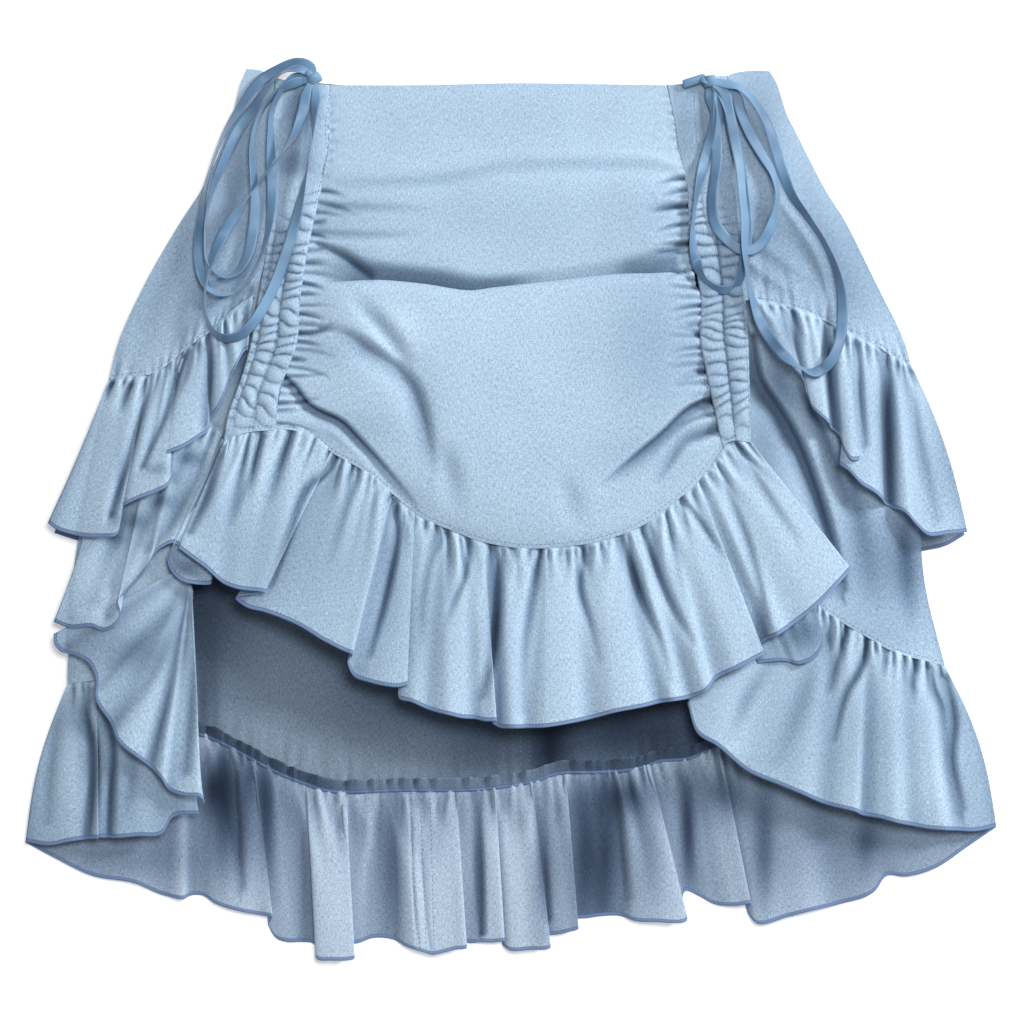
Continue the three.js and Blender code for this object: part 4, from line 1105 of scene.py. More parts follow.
FRONT_CREASES = [
    ([(299, 334, 1.6), (312, 334, 1.4), (330, 327, 0.3)], 2, 2),
    ([(330, 330, 0.6), (354, 339, 1.6), (367, 348, 2.2), (386, 361, 2), (399, 371, 2),
      (411, 383, 2.1), (420, 403, 2), (428, 440, 1.3), (432, 475, 0.3)], 4, 9),
    ([(355, 300, 0.3), (379, 325, 1.6), (395, 345, 1.6), (404, 362, 0.8)], 6, 5),
    ([(283, 376, 2.4), (297, 389, 3), (309, 405, 3.8), (328, 415, 3.6), (341, 421, 3.2),
      (360, 440, 2.8), (380, 462, 2.2), (415, 505, 0.3)], 1.5, 5),
    ([(300, 212, 1.2), (330, 208, 1), (380, 209, 0.7), (436, 211, 0)], 3, 4),
    ([(305, 232, 1.4), (330, 235, 1.2), (370, 236, 0.8), (424, 235, 0)], 3, 4),
    ([(319, 246, 1.2), (345, 256, 2), (369, 275, 1)], 3, 4),
    ([(690, 206, 1.3), (668, 208, 1), (640, 212, 0)], 2.5, 4),
    ([(694, 244, 1.6), (672, 249, 1.4), (650, 256, 0.4)], 2, 3),
    ([(702, 336, 1.6), (690, 331, 1), (672, 328, 0)], 2, 3),
    ([(709, 370, 1.6), (694, 376, 1.2), (675, 386, 0)], 2, 4),
    ([(712, 398, 3), (689, 408, 3.4), (661, 434, 3), (636, 455, 2.2), (596, 490, 0)], 6, 1.6),
    ([(718, 429, 2.2), (699, 436, 2.2), (682, 443, 2), (668, 462, 1.4), (650, 490, 0)], 3, 5),
    ([(440, 440, 0), (450, 470, 1), (458, 515, 0.2)], 7, 8),
    ([(560, 470, 0), (572, 500, 0.7), (578, 535, 0)], 7, 8),
]


def side_gathers(inner, way, seed, top, bottom, share=1.0):
    """Short creases that run into the front from the puckers of a casing"""
    draw = np.random.default_rng(seed)
    line = np.array(inner)
    lines, place = [], top
    while place < bottom:
        y_mm = (MIDDLE_PY - place) * PIXEL
        start = np.interp(y_mm, line[::-1, 1], line[::-1, 0]) / PIXEL + MIDDLE_PX
        reach = draw.uniform(14, 46) * share
        slope = draw.uniform(-0.15, 0.25)
        depth = draw.uniform(0.7, 1.7) * share
        lines.append((
            [
                (start - 2 * way, place, depth),
                (start + way * reach * 0.4, place + reach * 0.4 * slope, depth * 0.8),
                (start + way * reach, place + reach * slope * 1.6, 0),
            ],
            draw.uniform(0.9, 1.5), draw.uniform(1.2, 2.4),
        ))
        place += draw.uniform(7, 12)
    return lines


ACROSS, DOWN = 230, 250
front_rows = np.stack([strand(on_table(row), ACROSS + 1) for row in FRONT_ROWS])
gaps = np.linalg.norm(np.diff(front_rows, axis=0), axis=2).mean(axis=1)
row_knots = np.concatenate([[0], np.cumsum(gaps)])
down_at = np.linspace(0, row_knots[-1], DOWN + 1)
front_spots = flow(row_knots, front_rows, down_at)
x, y = front_spots[..., 0], front_spots[..., 1]
all_creases = [
    *FRONT_CREASES,
    *side_gathers(CHANNEL_LEFT_INNER, 1, 61, 190, 425),
    *side_gathers(CHANNEL_RIGHT_INNER, -1, 62, 178, 425),
    *side_gathers(CHANNEL_LEFT_INNER, 1, 63, 96, 180, 0.3),
    *side_gathers(CHANNEL_RIGHT_INNER, -1, 64, 96, 170, 0.3),
]
front_sink = creases(x, y, all_creases)
front_spots[..., 2] += puff(x, y) + CHANNEL_LEVEL + 0.8 - front_sink
FRONT_PANEL_SHADOWS = [
    (662, 345, 66, 80, 0.7), (400, 335, 30, 26, 1.22), (510, 215, 150, 40, 0.88),
    (511, 115, 190, 30, 0.92), (345, 262, 30, 16, 0.85), (330, 210, 40, 30, 0.85),
    (660, 215, 50, 30, 0.88), (425, 420, 16, 60, 0.85), (330, 350, 60, 14, 0.85),
    (650, 455, 60, 26, 0.85), (350, 430, 50, 20, 0.85),
]


def between(rise_from, rise_to, fall_from, fall_to, value):
    """A soft band that comes in and goes out again"""
    return smooth(rise_from, rise_to, value) * (1 - smooth(fall_from, fall_to, value))


# The shadow under the pouch is painted between the eighth and tenth rows, darkest at its two
# ends, and the creases and the soft shadows of the front are painted shade too.
pouch_top, pouch_under, pouch_edge = row_knots[7:10]
band = between(pouch_top - 1, pouch_top + 6, pouch_under + 1, pouch_edge, down_at)[:, None]
ends_dark = between(-122, -95, -22, 30, x) + 0.8 * between(60, 78, 104, 112, x)
band_at = np.clip(ends_dark + 0.35 * between(-30, 0, 55, 80, x), 0, 1)
front_painted_shade = (1 - 0.66 * band * band_at) * (1 - 0.035 * np.clip(front_sink, 0, 5))
front_painted_shade = front_painted_shade * dim(x, y, FRONT_PANEL_SHADOWS)
front = cloth("front_panel_cloth", front_spots, front_painted_shade)

# %% [markdown]
# ## The casings
# A casing is two narrow tunnels between three rows of stitches, with a string in each. Drawn up,
# the tunnels puff into a ladder of small pillows with a deep pucker between each pair. Near the
# waist the string is slack and the casing lies flat.

# %% Casings
LEFT_PUCKERS = [
    193, 207, 220, 231, 245, 254, 264, 272, 281, 291, 302, 314, 324, 334, 345, 355, 366, 380, 392,
    405, 417, 431,
]
RIGHT_PUCKERS = [
    187, 195, 204, 213, 222, 233, 244, 256, 267, 279, 291, 302, 314, 322, 330, 338, 347, 359, 370,
    380, 391, 402, 415, 431, 449,
]
CASING_SHADOWS = [
    (300, 115, 16, 34, 0.34), (292, 162, 20, 16, 0.45), (310, 100, 8, 20, 0.6),
    (284, 240, 12, 60, 0.75), (735, 200, 20, 60, 0.75), (706, 120, 14, 34, 0.72),
    (684, 130, 22, 60, 0.64), (724, 280, 34, 66, 0.72), (730, 385, 34, 56, 0.8),
    (275, 330, 40, 110, 0.88),
]


CASING_ACROSS, CASING_DOWN = 46, 420
OVERLAP = 1.3
TURNED_UNDER = 5.0


def casing(name, top, bottom, left, right, puckers, tunnels, tilt, seed):
    """A casing whose tunnels end at the shares given, with a pucker at each place down it"""
    edges = moved(left, -OVERLAP), moved(right, OVERLAP)
    flat = patch(top, bottom, *edges, CASING_ACROSS, CASING_DOWN)
    x, y = flat[..., 0], flat[..., 1]
    u = np.linspace(0, 1, CASING_ACROSS + 1)[None, :] + 0 * x
    v = np.linspace(0, 1, CASING_DOWN + 1)[:, None] + 0 * x
    draw = np.random.default_rng(seed)
    py = MIDDLE_PY - y / PIXEL
    lean = tilt * (u - 0.5) * smooth(340, 400, py) * 22
    tunnel = np.searchsorted(tunnels, u.ravel()).reshape(u.shape)
    own = draw.uniform(-2.5, 2.5, 4)[tunnel]
    marks = np.array([70, 95, 120, 145, 170, *puckers, 448, 464, 480], float)
    wander = 2.6 * np.sin(py / 13 + 3 * u + 4 * tunnel + seed)
    wander += 1.9 * np.sin(py / 7.7 + 8 * u + 2 * tunnel)
    phase = np.interp(py + lean + own + wander, marks, np.arange(len(marks)))
    swell = 0.75 + 0.5 * np.interp(phase + 7.3 * tunnel, np.arange(120), draw.uniform(0, 1, 120))
    cell = np.abs(np.sin(np.pi * phase)) ** 0.34
    # How strong the painted shade in each pucker is, at random.
    pucker_shade_strength = draw.uniform(0.45, 1, (4, 40))[tunnel, np.clip(np.rint(phase).astype(int), 0, 39)]
    inside = np.zeros(u.shape)
    for a, b in zip(tunnels, tunnels[1:]):
        share = np.clip((u - a) / (b - a), 0, 1)
        full = 0.35 if b - a < 0.2 else 1
        inside += np.where((u >= a) & (u <= b), full * np.sin(np.pi * share) ** 0.55, 0)
    outer = 1 - u if tilt < 0 else u
    drawn = smooth(165, 215, py - 48 * outer)
    rim = (0.4 + 0.8 * drawn) * (1 - smooth(0, 0.05, np.minimum(u, 1 - u)))
    pillow = 3.2 * swell * cell * (0.25 + 0.75 * inside) + 0.7 * inside
    slack = 0.35 * inside + 0.25 * cell * inside
    rise = (drawn * pillow + (1 - drawn) * slack) * (1 - 0.8 * smooth(0.9, 0.99, v))
    z = puff(x, y) + CHANNEL_LEVEL + 0.8 + FRONT_RISE * smooth(0.5, 1, v) + rise - rim
    # Painted shade: darker in each pucker, and along the stitch rows between the drawn tunnels.
    pucker_painted_shade = (0.2 + 0.6 * drawn) * pucker_shade_strength * (1 - cell) ** 1.5
    tone = 1 - pucker_painted_shade - drawn * 0.22 * (1 - np.clip(inside, 0, 1)) ** 2
    spots = lifted(flat, z)
    # Both edges turn straight down, so that no gap shows beside the front or the sides.
    spots[:, [0, -1], :2] = spots[:, [1, -2], :2]
    spots[:, [0, -1], 2] -= TURNED_UNDER
    return cloth(name, spots, tone * dim(x, y, CASING_SHADOWS))


casing_left = casing(
    "casing_left_cloth", [(-152, 280.5), (-141, 278), (-115.7, 275.5)],
    [(-184, 46.5), (-169.5, 52), (-149.3, 54)],
    CHANNEL_LEFT_OUTER, CHANNEL_LEFT_INNER, LEFT_PUCKERS, [0.0, 0.18, 0.57, 1.0], -1, 71,
)
casing_right = casing(
    "casing_right_cloth", [(99.2, 275.5), (114.5, 277), (124, 280), (140, 282)],
    [(134, 43), (141, 47), (153.3, 46)],
    CHANNEL_RIGHT_INNER, CHANNEL_RIGHT_OUTER, RIGHT_PUCKERS, [0.0, 0.5, 0.95, 1.0], 0.5, 72,
)

# %% [markdown]
# ## The front ruffle
# It is the widest and liveliest ruffle, sewn to the rounded lower edge of the front. Its fold
# lines were read off the photograph one by one.

# %% Front ruffle
FRONT_RUFFLE = [
    (222, 442, 174, 549, 2.4), (222, 443, 169, 560, 0.6), (223, 443, 172, 570, 0.6),
    (225, 442, 182, 580, 1.6), (228, 440, 198, 584, 1.8), (231, 438, 213, 583, 1.2),
    (230, 438, 206, 572, 0.6), (226, 441, 188, 556, 1.6), (225, 441, 180, 548, 4),
    (232, 437, 194, 558, 6), (240, 434, 208, 568, 6.5), (252, 431, 225, 583, 5.5),
    (276, 429, 238, 588, 7), (300, 429, 250, 590, 7.6), (320, 438, 262, 591, 8.6),
    (332, 448, 267, 592, 8.8), (333, 450, 250, 595, 3), (334, 451, 237, 598, 0.8),
    (336, 452, 248, 607, 1), (340, 454, 264, 611, 2.6), (345, 455, 300, 625, 4.8),
    (362, 467, 325, 640, 7), (380, 480, 345, 650, 8.8), (392, 495, 354, 654, 9.2),
    (391, 497, 349, 660, 4), (392, 499, 354, 675, 1), (399, 503, 372, 682, 2.6),
    (405, 507, 386, 685, 4.6), (410, 510, 400, 686, 5.2), (415, 513, 408, 684, 4.6),
    (414, 513, 400, 690, 1.6), (420, 516, 399, 697, 1.4), (426, 519, 412, 701, 4.2),
    (440, 523, 430, 709, 3), (446, 528, 450, 714, 6.4), (458, 534, 463, 717, 5),
    (468, 538, 475, 718, 3), (476, 540, 486, 720, 5.6), (484, 541, 497, 720, 6.8),
    (485, 541, 493, 722, 2), (493, 543, 498, 726, 1), (505, 546, 510, 727, 5.6),
    (522, 547, 518, 727, 5.8), (540, 547, 526, 727, 3), (548, 547, 545, 726, 6.2),
    (566, 547, 570, 722, 6), (582, 545, 590, 718, 3), (600, 541, 615, 711, 7),
    (614, 537, 642, 706, 6), (622, 534, 660, 702, 2.8), (632, 530, 672, 700, 6.4),
    (643, 525, 690, 697, 3), (655, 516, 705, 690, 7.2), (662, 512, 709, 686, 6.4),
    (668, 507, 713, 680, 4), (680, 497, 735, 668, 7.4), (690, 489, 752, 659, 7),
    (697, 481, 763, 652, 5.6), (697, 479, 757, 648, 2), (700, 477, 765, 640, 2),
    (705, 472, 775, 635, 7.4), (712, 465, 790, 625, 5), (722, 452, 815, 605, 6.6),
    (735, 440, 835, 585, 6), (748, 440, 850, 569, 4.4),
]
FRONT_LINES = [
    ([(338, 456, 1.4), (325, 475, 1.8), (308, 490, 1.6), (290, 535, 1.2), (272, 585, 0.6)], 2, 4),
    ([(394, 500, 1.6), (398, 535, 1.8), (386, 600, 1.6), (370, 655, 0.6)], 2, 4),
    ([(446, 530, 1.4), (430, 560, 1.2), (422, 600, 0.9), (420, 640, 0.3)], 3, 5),
    ([(468, 540, 1.5), (465, 575, 1.2), (455, 600, 0.8), (445, 625, 0.2)], 2, 3),
    ([(494, 543, 1.6), (497, 570, 2), (498, 600, 2), (493, 650, 1.8), (482, 695, 0.8)], 3, 5),
    ([(512, 548, 1.4), (508, 580, 0.2)], 1.8, 2.5),
    ([(540, 550, 1.4), (531, 600, 1.2), (524, 650, 0.9), (522, 710, 0.5)], 3, 4),
    ([(582, 548, 1.5), (580, 590, 1.4), (590, 625, 0.6), (598, 660, 0.2)], 2.5, 3),
    ([(622, 538, 1.5), (640, 590, 1.8), (660, 645, 1), (668, 680, 0.4)], 2.5, 4),
    ([(643, 528, 1.5), (665, 590, 1.4), (690, 640, 0.6)], 2.5, 3.5),
    ([(680, 497, 1.5), (705, 530, 1), (725, 560, 0.2)], 2, 3),
    ([(722, 485, 0.6), (745, 540, 1.2), (760, 600, 1.2), (765, 640, 0.8)], 3, 5),
    ([(221, 447, 1.2), (209, 492, 1.8), (191, 531, 1.2)], 3, 4),
    ([(262, 436, 1.4), (248, 480, 1.2), (232, 520, 0.3)], 3, 5),
    ([(292, 432, 1.2), (283, 460, 1), (272, 500, 0.2)], 3, 4),
    ([(358, 466, 1.2), (345, 510, 1), (330, 560, 0.2)], 3, 5),
    ([(735, 445, 1.2), (762, 490, 1), (795, 540, 0.3)], 3, 5),
]
FRONT_SHADOWS = [
    (295, 560, 75, 60, 0.76), (188, 568, 16, 10, 0.5), (425, 620, 26, 70, 0.78),
    (392, 570, 12, 70, 0.75), (496, 620, 9, 80, 0.7), (212, 490, 14, 50, 0.75),
    (330, 510, 20, 40, 0.85), (640, 590, 12, 40, 0.85), (760, 640, 10, 20, 0.8),
]


def front_ruffle_height(x, y, v):
    return puff(x, y) + CHANNEL_LEVEL + FRONT_RISE + 0.6


front_ruffle = ruffle(
    "front_ruffle_cloth", FRONT_RUFFLE, front_ruffle_height, 84, 81, lines=FRONT_LINES,
    shadows=FRONT_SHADOWS,
)

# %% [markdown]
# ## Stitches
# Rows of small stitches hold the casings and the ruffles. Each stitch is a short grain of thread:
# a low icosphere is enough, because there are hundreds. A ray cast down onto the cloth finds
# where each one lies.


# %% Find the cloth under a stitch
def tree_of(pieces):
    bm = bmesh.new()
    for piece in pieces:
        bm.from_mesh(piece.data)
    tree = BVHTree.FromBMesh(bm)
    bm.free()
    return tree


STITCH_PITCH = 2.8
STITCH_LENGTH = 1.9
STITCH_THICK = 0.5
RAY_START = 0.2


def sew(name, grounds, lines):
    """Grains of thread along lines given in mm, laid on the cloth"""
    tree = tree_of(grounds)
    bm = bmesh.new()
    for line in lines:
        total = length_of(strand(line, 200))
        route = strand(line, max(2, int(total / STITCH_PITCH)))
        way = np.gradient(route, axis=0)
        for (px, py), (wx, wy) in zip(route, way):
            above = Vector((px * MM, py * MM, RAY_START))
            hit, normal, _, _ = tree.ray_cast(above, Vector((0, 0, -1)))
            if hit is None:
                continue
            along = Vector((wx, wy, 0)).normalized()
            along = (along - normal * along.dot(normal)).normalized()
            side = normal.cross(along)
            grain = bmesh.ops.create_icosphere(bm, subdivisions=1, radius=1)["verts"]
            for vert in grain:
                a, s, n = vert.co
                reach = along * a * STITCH_LENGTH / 2 + (side * s + normal * n) * STITCH_THICK / 2
                vert.co = hit + reach * MM
    return piece_from(name, mesh_from(name, bm))


def px_line(points):
    """A line of the photograph's grid in mm"""
    return [tuple(p) for p in at(*zip(*points))]


# The front's lower edge, then the left casing from its inner row out, then the right casing.
FRONT_STITCHING = [
    [(242, 429), (274, 426), (311, 433), (334, 450), (366, 468), (395, 491), (425, 514),
     (457, 528), (481, 537), (520, 544), (560, 543), (600, 537), (639, 522.5), (667, 503),
     (695, 478), (722, 444)],
    [(330, 85), (325, 131), (327, 152), (323, 168), (318, 193), (303, 255), (299, 301),
     (295, 340), (281, 385), (276, 425)],
    [(314, 84), (309, 150), (300, 200), (289, 255), (281, 300), (277, 334), (266, 372),
     (257, 400), (250, 430)],
    [(296, 82), (292, 150), (284, 200), (272, 262), (262, 330), (250, 360), (238, 400),
     (230, 430)],
    [(668, 84), (675, 120), (681, 152), (688, 190), (689, 235), (698, 280), (702, 320),
     (702, 370), (712, 405), (722, 444)],
    [(694, 91), (697, 137), (702, 170), (712, 230), (724, 300), (727, 345), (728, 380),
     (732, 420), (737, 444)],
    [(722, 90), (728, 150), (735, 200), (739, 244), (745, 345), (748, 401), (748, 440)],
]
front_stitches = sew(
    "front_stitches", [front, casing_left, casing_right], [px_line(p) for p in FRONT_STITCHING],
)
tier_stitches = sew(
    "tier_stitches", [tier_left, tier_right, side_left, side_right],
    [[(x, y + 2.5) for x, y in p] for p in (TIER_LEFT_SEAM, TIER_RIGHT_SEAM, SIDE_RIGHT_HEM[3:])],
)
# Down the joins of the back ruffle, on both sides of the centre-back seam, and along the hem seam.
RUFFLE_JOINS = [
    [(410, 800), (415, 900), (420, 948)], [(420, 800), (426, 948)], [(430, 800), (434, 950)],
]
back_stitches = sew(
    "back_stitches", [back_ruffle, back_left, back_right],
    [
        *[px_line(p) for p in RUFFLE_JOINS],
        *[[(CENTRE_BACK_X + dx, -165), (CENTRE_BACK_X + dx, -130)] for dx in (-3, 3)],
        [(x, y - 2) for x, y in BACK_SEAM],
    ],
)

# %% [markdown]
# ## Materials
# Chambray is woven from blue warp and white weft, so up close it is a fine speckle with thicker
# slubs along both threads. One node group draws that weave on the cloth's own UV map and puts
# out colour, roughness and height; it also darkens the folds by their shade, more in red than in
# blue, as real shadows on this cloth do. A second group draws the overlocked hem: a band of close
# stitches in a darker blue thread.


# %% Node helpers
COLOR, VALUE = "NodeSocketColor", "NodeSocketFloat"


def new_group(name, inputs, outputs):
    """A node group with named inputs (label, kind, value) and outputs (label, kind)"""
    group = bpy.data.node_groups.new(name, "ShaderNodeTree")
    for label, kind, value in inputs:
        socket = group.interface.new_socket(label, in_out="INPUT", socket_type=kind)
        socket.default_value = value
    for label, kind in outputs:
        group.interface.new_socket(label, in_out="OUTPUT", socket_type=kind)
    return group, group.nodes.new("NodeGroupInput"), group.nodes.new("NodeGroupOutput")


def node(tree, kind, links=None, **settings):
    """Add a node, set its named properties, and feed its inputs from sockets or plain values"""
    made = tree.nodes.new(kind)
    for key, value in settings.items():
        setattr(made, key, value)
    for key, value in (links or {}).items():
        if hasattr(value, "is_output"):
            tree.links.new(value, made.inputs[key])
        else:
            made.inputs[key].default_value = value
    return made


def maths(tree, operation, a, b=0.0, c=None):
    links = {0: a, 1: b}
    if c is not None:
        links[2] = c
    return node(tree, "ShaderNodeMath", links, operation=operation).outputs[0]


def scaled(tree, color, by):
    made = node(tree, "ShaderNodeVectorMath", {0: color, "Scale": by}, operation="SCALE")
    return made.outputs[0]


# %% The weave
weave, weave_in, weave_out = new_group(
    "chambray_weave_and_painted_shade",
    [("Thread", COLOR, (0.4, 0.55, 0.75, 1)), ("Slub", VALUE, 0.12), ("Mottle", VALUE, 0.08)],
    [("Color", COLOR), ("Roughness", VALUE), ("Height", VALUE)],
)
threads = node(weave, "ShaderNodeUVMap", uv_map="cloth").outputs[0]


def thread_noise(stretch, detail):
    laid = node(weave, "ShaderNodeMapping", {"Vector": threads, "Scale": stretch}).outputs[0]
    links = {"Vector": laid, "Scale": 1.0, "Detail": detail, "Roughness": 0.6}
    return node(weave, "ShaderNodeTexNoise", links).outputs["Fac"]


def thread_ribs(scale, direction):
    links = {"Vector": threads, "Scale": scale, "Distortion": 1.5, "Detail": 1.0}
    made = node(weave, "ShaderNodeTexWave", links, wave_type="BANDS", bands_direction=direction)
    return made.outputs["Fac"]


warp = thread_noise((1500, 380, 1), 2)
weft = thread_noise((520, 1600, 1), 2)
patchy = thread_noise((30, 24, 1), 3)
fine_warp = thread_ribs(420.0, "X")
fine_weft = thread_ribs(450.0, "Y")
streaks = maths(
    weave, "ADD", maths(weave, "SUBTRACT", warp, 0.5), maths(weave, "SUBTRACT", weft, 0.5),
)
slubs = maths(weave, "MULTIPLY", streaks, weave_in.outputs["Slub"])
mottle = maths(weave, "MULTIPLY", maths(weave, "SUBTRACT", patchy, 0.5), weave_in.outputs["Mottle"])
slub_light = maths(weave, "MULTIPLY_ADD", slubs, 4.0, 1.0)
light = maths(weave, "ADD", slub_light, maths(weave, "MULTIPLY", mottle, 2.0))
# The shade attribute is painted shade: it darkens the colour of each place, more in red than in
# blue.
shade = node(weave, "ShaderNodeAttribute", attribute_name="shade").outputs["Fac"]
SHADE_POWERS = (1.15, 1.02, 0.86)
channels = {k: maths(weave, "POWER", shade, power) for k, power in enumerate(SHADE_POWERS)}
kept = node(weave, "ShaderNodeCombineColor", channels).outputs[0]
in_shade = node(
    weave, "ShaderNodeVectorMath", {0: weave_in.outputs["Thread"], 1: kept}, operation="MULTIPLY",
).outputs[0]
weave.links.new(scaled(weave, in_shade, light), weave_out.inputs["Color"])
weave.links.new(maths(weave, "MULTIPLY_ADD", warp, 0.12, 0.82), weave_out.inputs["Roughness"])
ribs = maths(weave, "MULTIPLY", fine_warp, fine_weft)
weave.links.new(
    maths(weave, "ADD", ribs, maths(weave, "MULTIPLY", streaks, 1.5)), weave_out.inputs["Height"],
)

# %% The overlocked hem
TOOTH, LOOP = 0.0014, 0.00095
hem, hem_in, hem_out = new_group(
    "overlocked_hem",
    [("Cloth", COLOR, (0.4, 0.55, 0.75, 1)), ("Thread", COLOR, (0.25, 0.33, 0.56, 1)),
     ("Width", VALUE, 0.0024)],
    [("Color", COLOR), ("Mask", VALUE)],
)
on_cloth = node(hem, "ShaderNodeUVMap", uv_map="cloth").outputs[0]
split = node(hem, "ShaderNodeSeparateXYZ", {0: on_cloth})
along_hem, up_from_hem = split.outputs["X"], split.outputs["Y"]


def hem_wave(pitch):
    return maths(hem, "SINE", maths(hem, "MULTIPLY", along_hem, 2 * np.pi / pitch))


edge_at = maths(hem, "MULTIPLY_ADD", hem_wave(TOOTH), 0.0002, hem_in.outputs["Width"])
hem_band = maths(hem, "LESS_THAN", up_from_hem, edge_at)
loops = maths(hem, "MULTIPLY_ADD", hem_wave(LOOP), 0.12, 0.95)
low = node(hem, "ShaderNodeMapRange", {
    "Value": up_from_hem, "From Min": 0.0013, "From Max": 0.0024, "To Min": 1.35, "To Max": 0.6,
}).outputs[0]
stitched = scaled(hem, hem_in.outputs["Thread"], maths(hem, "MULTIPLY", loops, low))
cover = maths(hem, "MULTIPLY", hem_band, 0.85)
mixed = node(hem, "ShaderNodeMix", {"Factor": cover}, data_type="RGBA")
hem.links.new(hem_in.outputs["Cloth"], mixed.inputs[6])
hem.links.new(stitched, mixed.inputs[7])
hem.links.new(mixed.outputs[2], hem_out.inputs["Color"])
hem.links.new(hem_band, hem_out.inputs["Mask"])


# %% Chambray, outside and inside
def new_material(name, values):
    """A material, its tree and its shader, with plain values on the shader's own sockets"""
    made = bpy.data.materials.new(name)
    made.use_nodes = True
    surface = made.node_tree.nodes["Principled BSDF"]
    set_inputs(surface, values)
    return made, made.node_tree, surface


def set_inputs(target, values):
    for label, value in values.items():
        target.inputs[label].default_value = value


HEM_THREAD = (0.12, 0.19, 0.35, 1)


def cloth_material(name, thread, hem_width):
    made, tree, surface = new_material(
        name, {"Sheen Weight": 0.12, "Sheen Roughness": 0.5, "Specular IOR Level": 0.2},
    )
    woven = node(tree, "ShaderNodeGroup", node_tree=weave)
    set_inputs(woven, {"Thread": thread, "Slub": 0.28, "Mottle": 0.08})
    color = woven.outputs["Color"]
    if hem_width:
        overlock = node(tree, "ShaderNodeGroup", node_tree=hem)
        set_inputs(overlock, {"Thread": HEM_THREAD, "Width": hem_width})
        tree.links.new(color, overlock.inputs["Cloth"])
        color = overlock.outputs["Color"]
    tree.links.new(color, surface.inputs["Base Color"])
    tree.links.new(woven.outputs["Roughness"], surface.inputs["Roughness"])
    relief = {"Height": woven.outputs["Height"], "Strength": 0.25, "Distance": 0.0002}
    tree.links.new(node(tree, "ShaderNodeBump", relief).outputs[0], surface.inputs["Normal"])
    return made


OUTSIDE = (0.375, 0.505, 0.64, 1)
# The inside colour: the greyer wrong side, darkened further as painted shade for the hollow under
# the front.
INSIDE_WITH_PAINTED_SHADE = (0.16, 0.215, 0.29, 1)
BACK_RUFFLE_TONE = (0.4, 0.5, 0.62, 1)
chambray = cloth_material("chambray", OUTSIDE, 0)
chambray_hemmed = cloth_material("chambray_hemmed", OUTSIDE, 0.0026)
chambray_inside = cloth_material("chambray_inside", INSIDE_WITH_PAINTED_SHADE, 0)
inside_hemmed = cloth_material("chambray_inside_hemmed", BACK_RUFFLE_TONE, 0.0024)
print("cloth materials", chambray.name, chambray_hemmed.name, chambray_inside.name)


# %% Satin ribbon and sewing thread
def tone_and_painted_sheen(tree, surface, scale, dark, pale, ends=(0.0, 1.0)):
    """Base colour that drifts between two colours over the piece: a random tone on thread, painted
    sheen and shade on satin; gives back the noise
    """
    place = node(tree, "ShaderNodeTexCoord").outputs["Object"]
    noise = node(tree, "ShaderNodeTexNoise", {"Vector": place, "Scale": scale}).outputs["Fac"]
    ramp = node(tree, "ShaderNodeValToRGB", {"Fac": noise})
    for stop, position, tone in zip(ramp.color_ramp.elements, ends, (dark, pale)):
        stop.position, stop.color = position, tone
    tree.links.new(ramp.outputs["Color"], surface.inputs["Base Color"])
    return noise


satin, tree, surface = new_material(
    "satin_ribbon", {"Sheen Weight": 0.3, "Specular IOR Level": 0.4},
)
# The satin drifts between a dark and a pale blue: painted sheen and shade along the ribbon.
drift = tone_and_painted_sheen(tree, surface, 26.0, (0.07, 0.15, 0.27, 1), (0.16, 0.3, 0.46, 1), (0.35, 0.68))
rough = node(tree, "ShaderNodeMapRange", {"Value": drift, "To Min": 0.42, "To Max": 0.52})
tree.links.new(rough.outputs[0], surface.inputs["Roughness"])
thread, tree, surface = new_material("sewing_thread", {"Roughness": 0.6})
tone_and_painted_sheen(tree, surface, 900.0, (0.1, 0.16, 0.28, 1), (0.18, 0.27, 0.43, 1))
print("trim materials", satin.name, thread.name)

# %% [markdown]
# ## Dress the pieces
# Each piece now gets its material and hangs from the root, the CAD solids that it stands for are
# hidden, and its mesh area is printed beside the area that it was cut to. Only what shows of a
# length is counted for the back of the tier.

# %% Materials, bodies and cut sizes
OUTER = (chambray, "chambray")
OUTER_HEMMED = (chambray_hemmed, "chambray")
INNER = (chambray_inside, "chambray_inside")
INNER_HEMMED = (inside_hemmed, "chambray_inside")
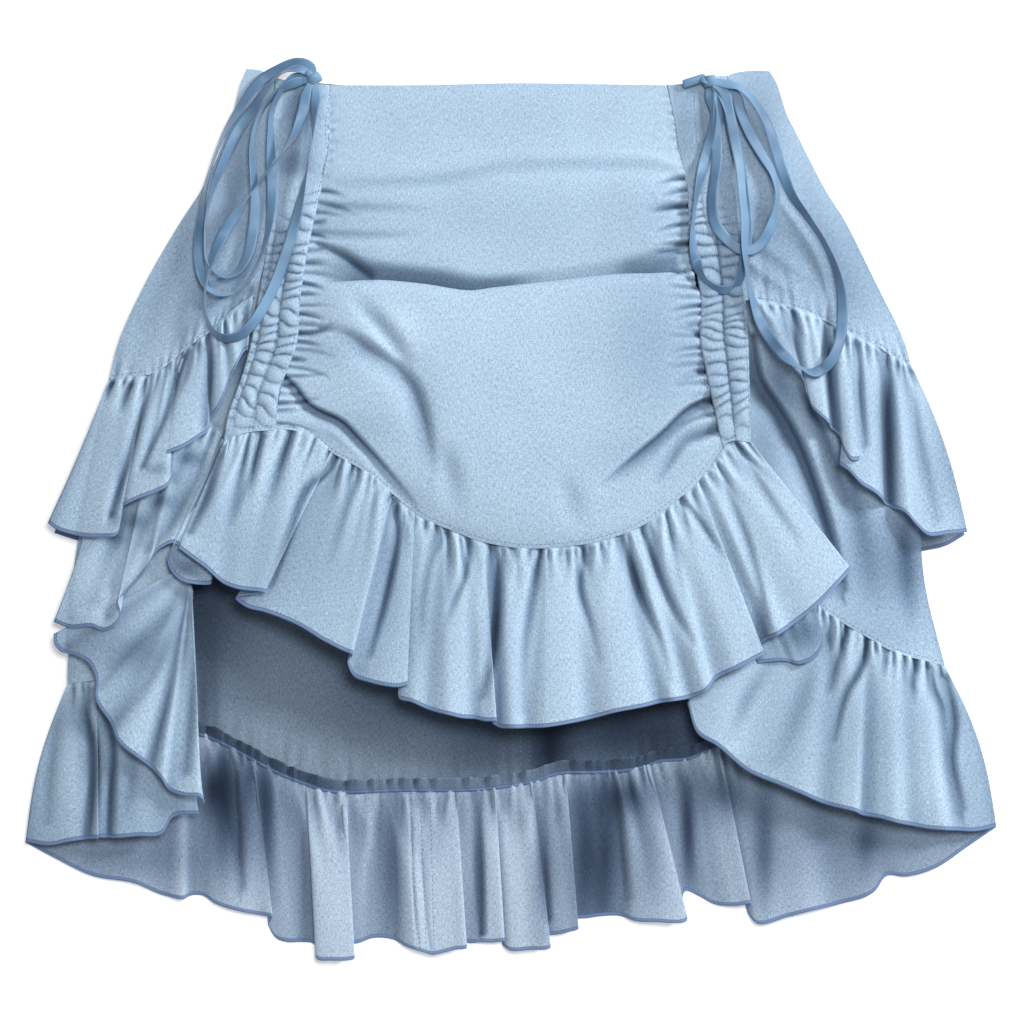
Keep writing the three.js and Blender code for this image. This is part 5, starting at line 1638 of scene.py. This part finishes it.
# piece, finish, CAD nodes, cut in m, how it is held, and its area in m2 where it isn't a rectangle
FINISHES = [
    (back_left, INNER, "back_panel_left", (0.30, 0.46), "laid", 0.105),
    (back_right, INNER, "back_panel_right", (0.28, 0.46), "laid", 0.1),
    (tier_back, INNER, "back_overskirt", (0.52, 0.21), "laid", 0.085),
    (back_ruffle, INNER_HEMMED, "back_ruffle_left back_ruffle_right", (0.78, 0.1),
    "gathered", None),
    (tier_back_ruffle, INNER_HEMMED, "back_upper_ruffle", (0.6, 0.1), "gathered", None),
    (frill, INNER_HEMMED, "back_seam_allowance", (0.72, 0.01), "gathered", None),
    (side_left, OUTER, "side_panel_left", (0.13, 0.40), "laid", 0.028),
    (side_right, OUTER, "side_panel_right", (0.13, 0.38), "laid", 0.031),
    (lower_left, OUTER_HEMMED, "lower_ruffle_left", (0.13, 0.1), "gathered", None),
    (lower_right, OUTER_HEMMED, "lower_ruffle_right", (0.24, 0.12), "gathered", None),
    (swag, OUTER_HEMMED, "swag_left", (0.1, 0.11), "gathered", None),
    (cascade, OUTER_HEMMED, "cascade_left", (0.17, 0.12), "draped", 0.0105),
    (turn, OUTER_HEMMED, "ruffle_turn_right", (0.05, 0.03), "gathered", None),
    (tier_left, OUTER, "overskirt_left", (0.09, 0.2), "laid", 0.01),
    (tier_right, OUTER, "overskirt_right", (0.1, 0.19), "laid", 0.01),
    (upper_left, OUTER_HEMMED, "upper_ruffle_left", (0.15, 0.1), "gathered", None),
    (upper_right, OUTER_HEMMED, "upper_ruffle_right", (0.14, 0.11), "gathered", None),
    (front, OUTER, "front_panel", (0.26, 0.34), "gathered", 0.08),
    (casing_left, OUTER, "channel_left", (0.034, 0.34), "gathered", None),
    (casing_right, OUTER, "channel_right", (0.035, 0.34), "gathered", None),
    (front_ruffle, OUTER_HEMMED, "front_ruffle", (0.62, 0.11), "gathered", None),
]


def mesh_area(piece):
    bm = bmesh.new()
    bm.from_mesh(piece.data)
    total = sum(face.calc_area() for face in bm.faces)
    bm.free()
    return total


for piece, (material, slot), nodes, cut, held, area in FINISHES:
    piece.data.materials.append(material)
    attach(piece, "root")
    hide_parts(*nodes.split())
    cut_area = area or round(cut[0] * cut[1], 4)
    print(piece.name, "mesh", round(mesh_area(piece), 4), "m2, cut", cut_area, "m2")
for piece in (front_stitches, tier_stitches, back_stitches):
    piece.data.materials.append(thread)
    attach(piece, "root")
for piece in [*ribbons, *knots]:
    piece.data.materials.append(satin)

# %% [markdown]
# ## Floor and light
# The photograph has a plain white ground and very soft light from above, a little from the
# right. A wide lamp high up gives that, and the world fills the folds. The floor is pale and matt.

# %% Floor
bm = bmesh.new()
bmesh.ops.create_grid(bm, x_segments=1, y_segments=1, size=4)
floor = piece_from("floor", mesh_from("floor", bm))
floor.location.z = -0.0004
pale, _, _ = new_material("pale_floor", {
    "Base Color": (0.93, 0.93, 0.93, 1), "Roughness": 0.9,
    "Emission Color": (1, 1, 1, 1), "Emission Strength": 0.3,
})
floor.data.materials.append(pale)


# %% Lamps
def lamp(name, place, size, power):
    """A round soft lamp that looks at the skirt's middle"""
    data = bpy.data.lights.new(name, "AREA")
    data.shape = "DISK"
    data.size = size
    data.energy = power
    made = bpy.data.objects.new(name, data)
    made.location = place
    made.rotation_euler = (Vector((0, 0, 0)) - Vector(place)).to_track_quat("-Z", "Y").to_euler()
    bpy.context.scene.collection.objects.link(made)


lamp("overhead_softbox", (0.5, 0.8, 3.4), 1.1, 72)
lamp("upper_right_softbox", (2.2, 1.4, 1.5), 0.7, 72)
world = bpy.data.worlds.new("studio")
world.use_nodes = True
background = {"Color": (0.97, 0.98, 1, 1), "Strength": 0.3}
set_inputs(world.node_tree.nodes["Background"], background)
bpy.context.scene.world = world
bpy.context.scene.view_settings.view_transform = "Standard"
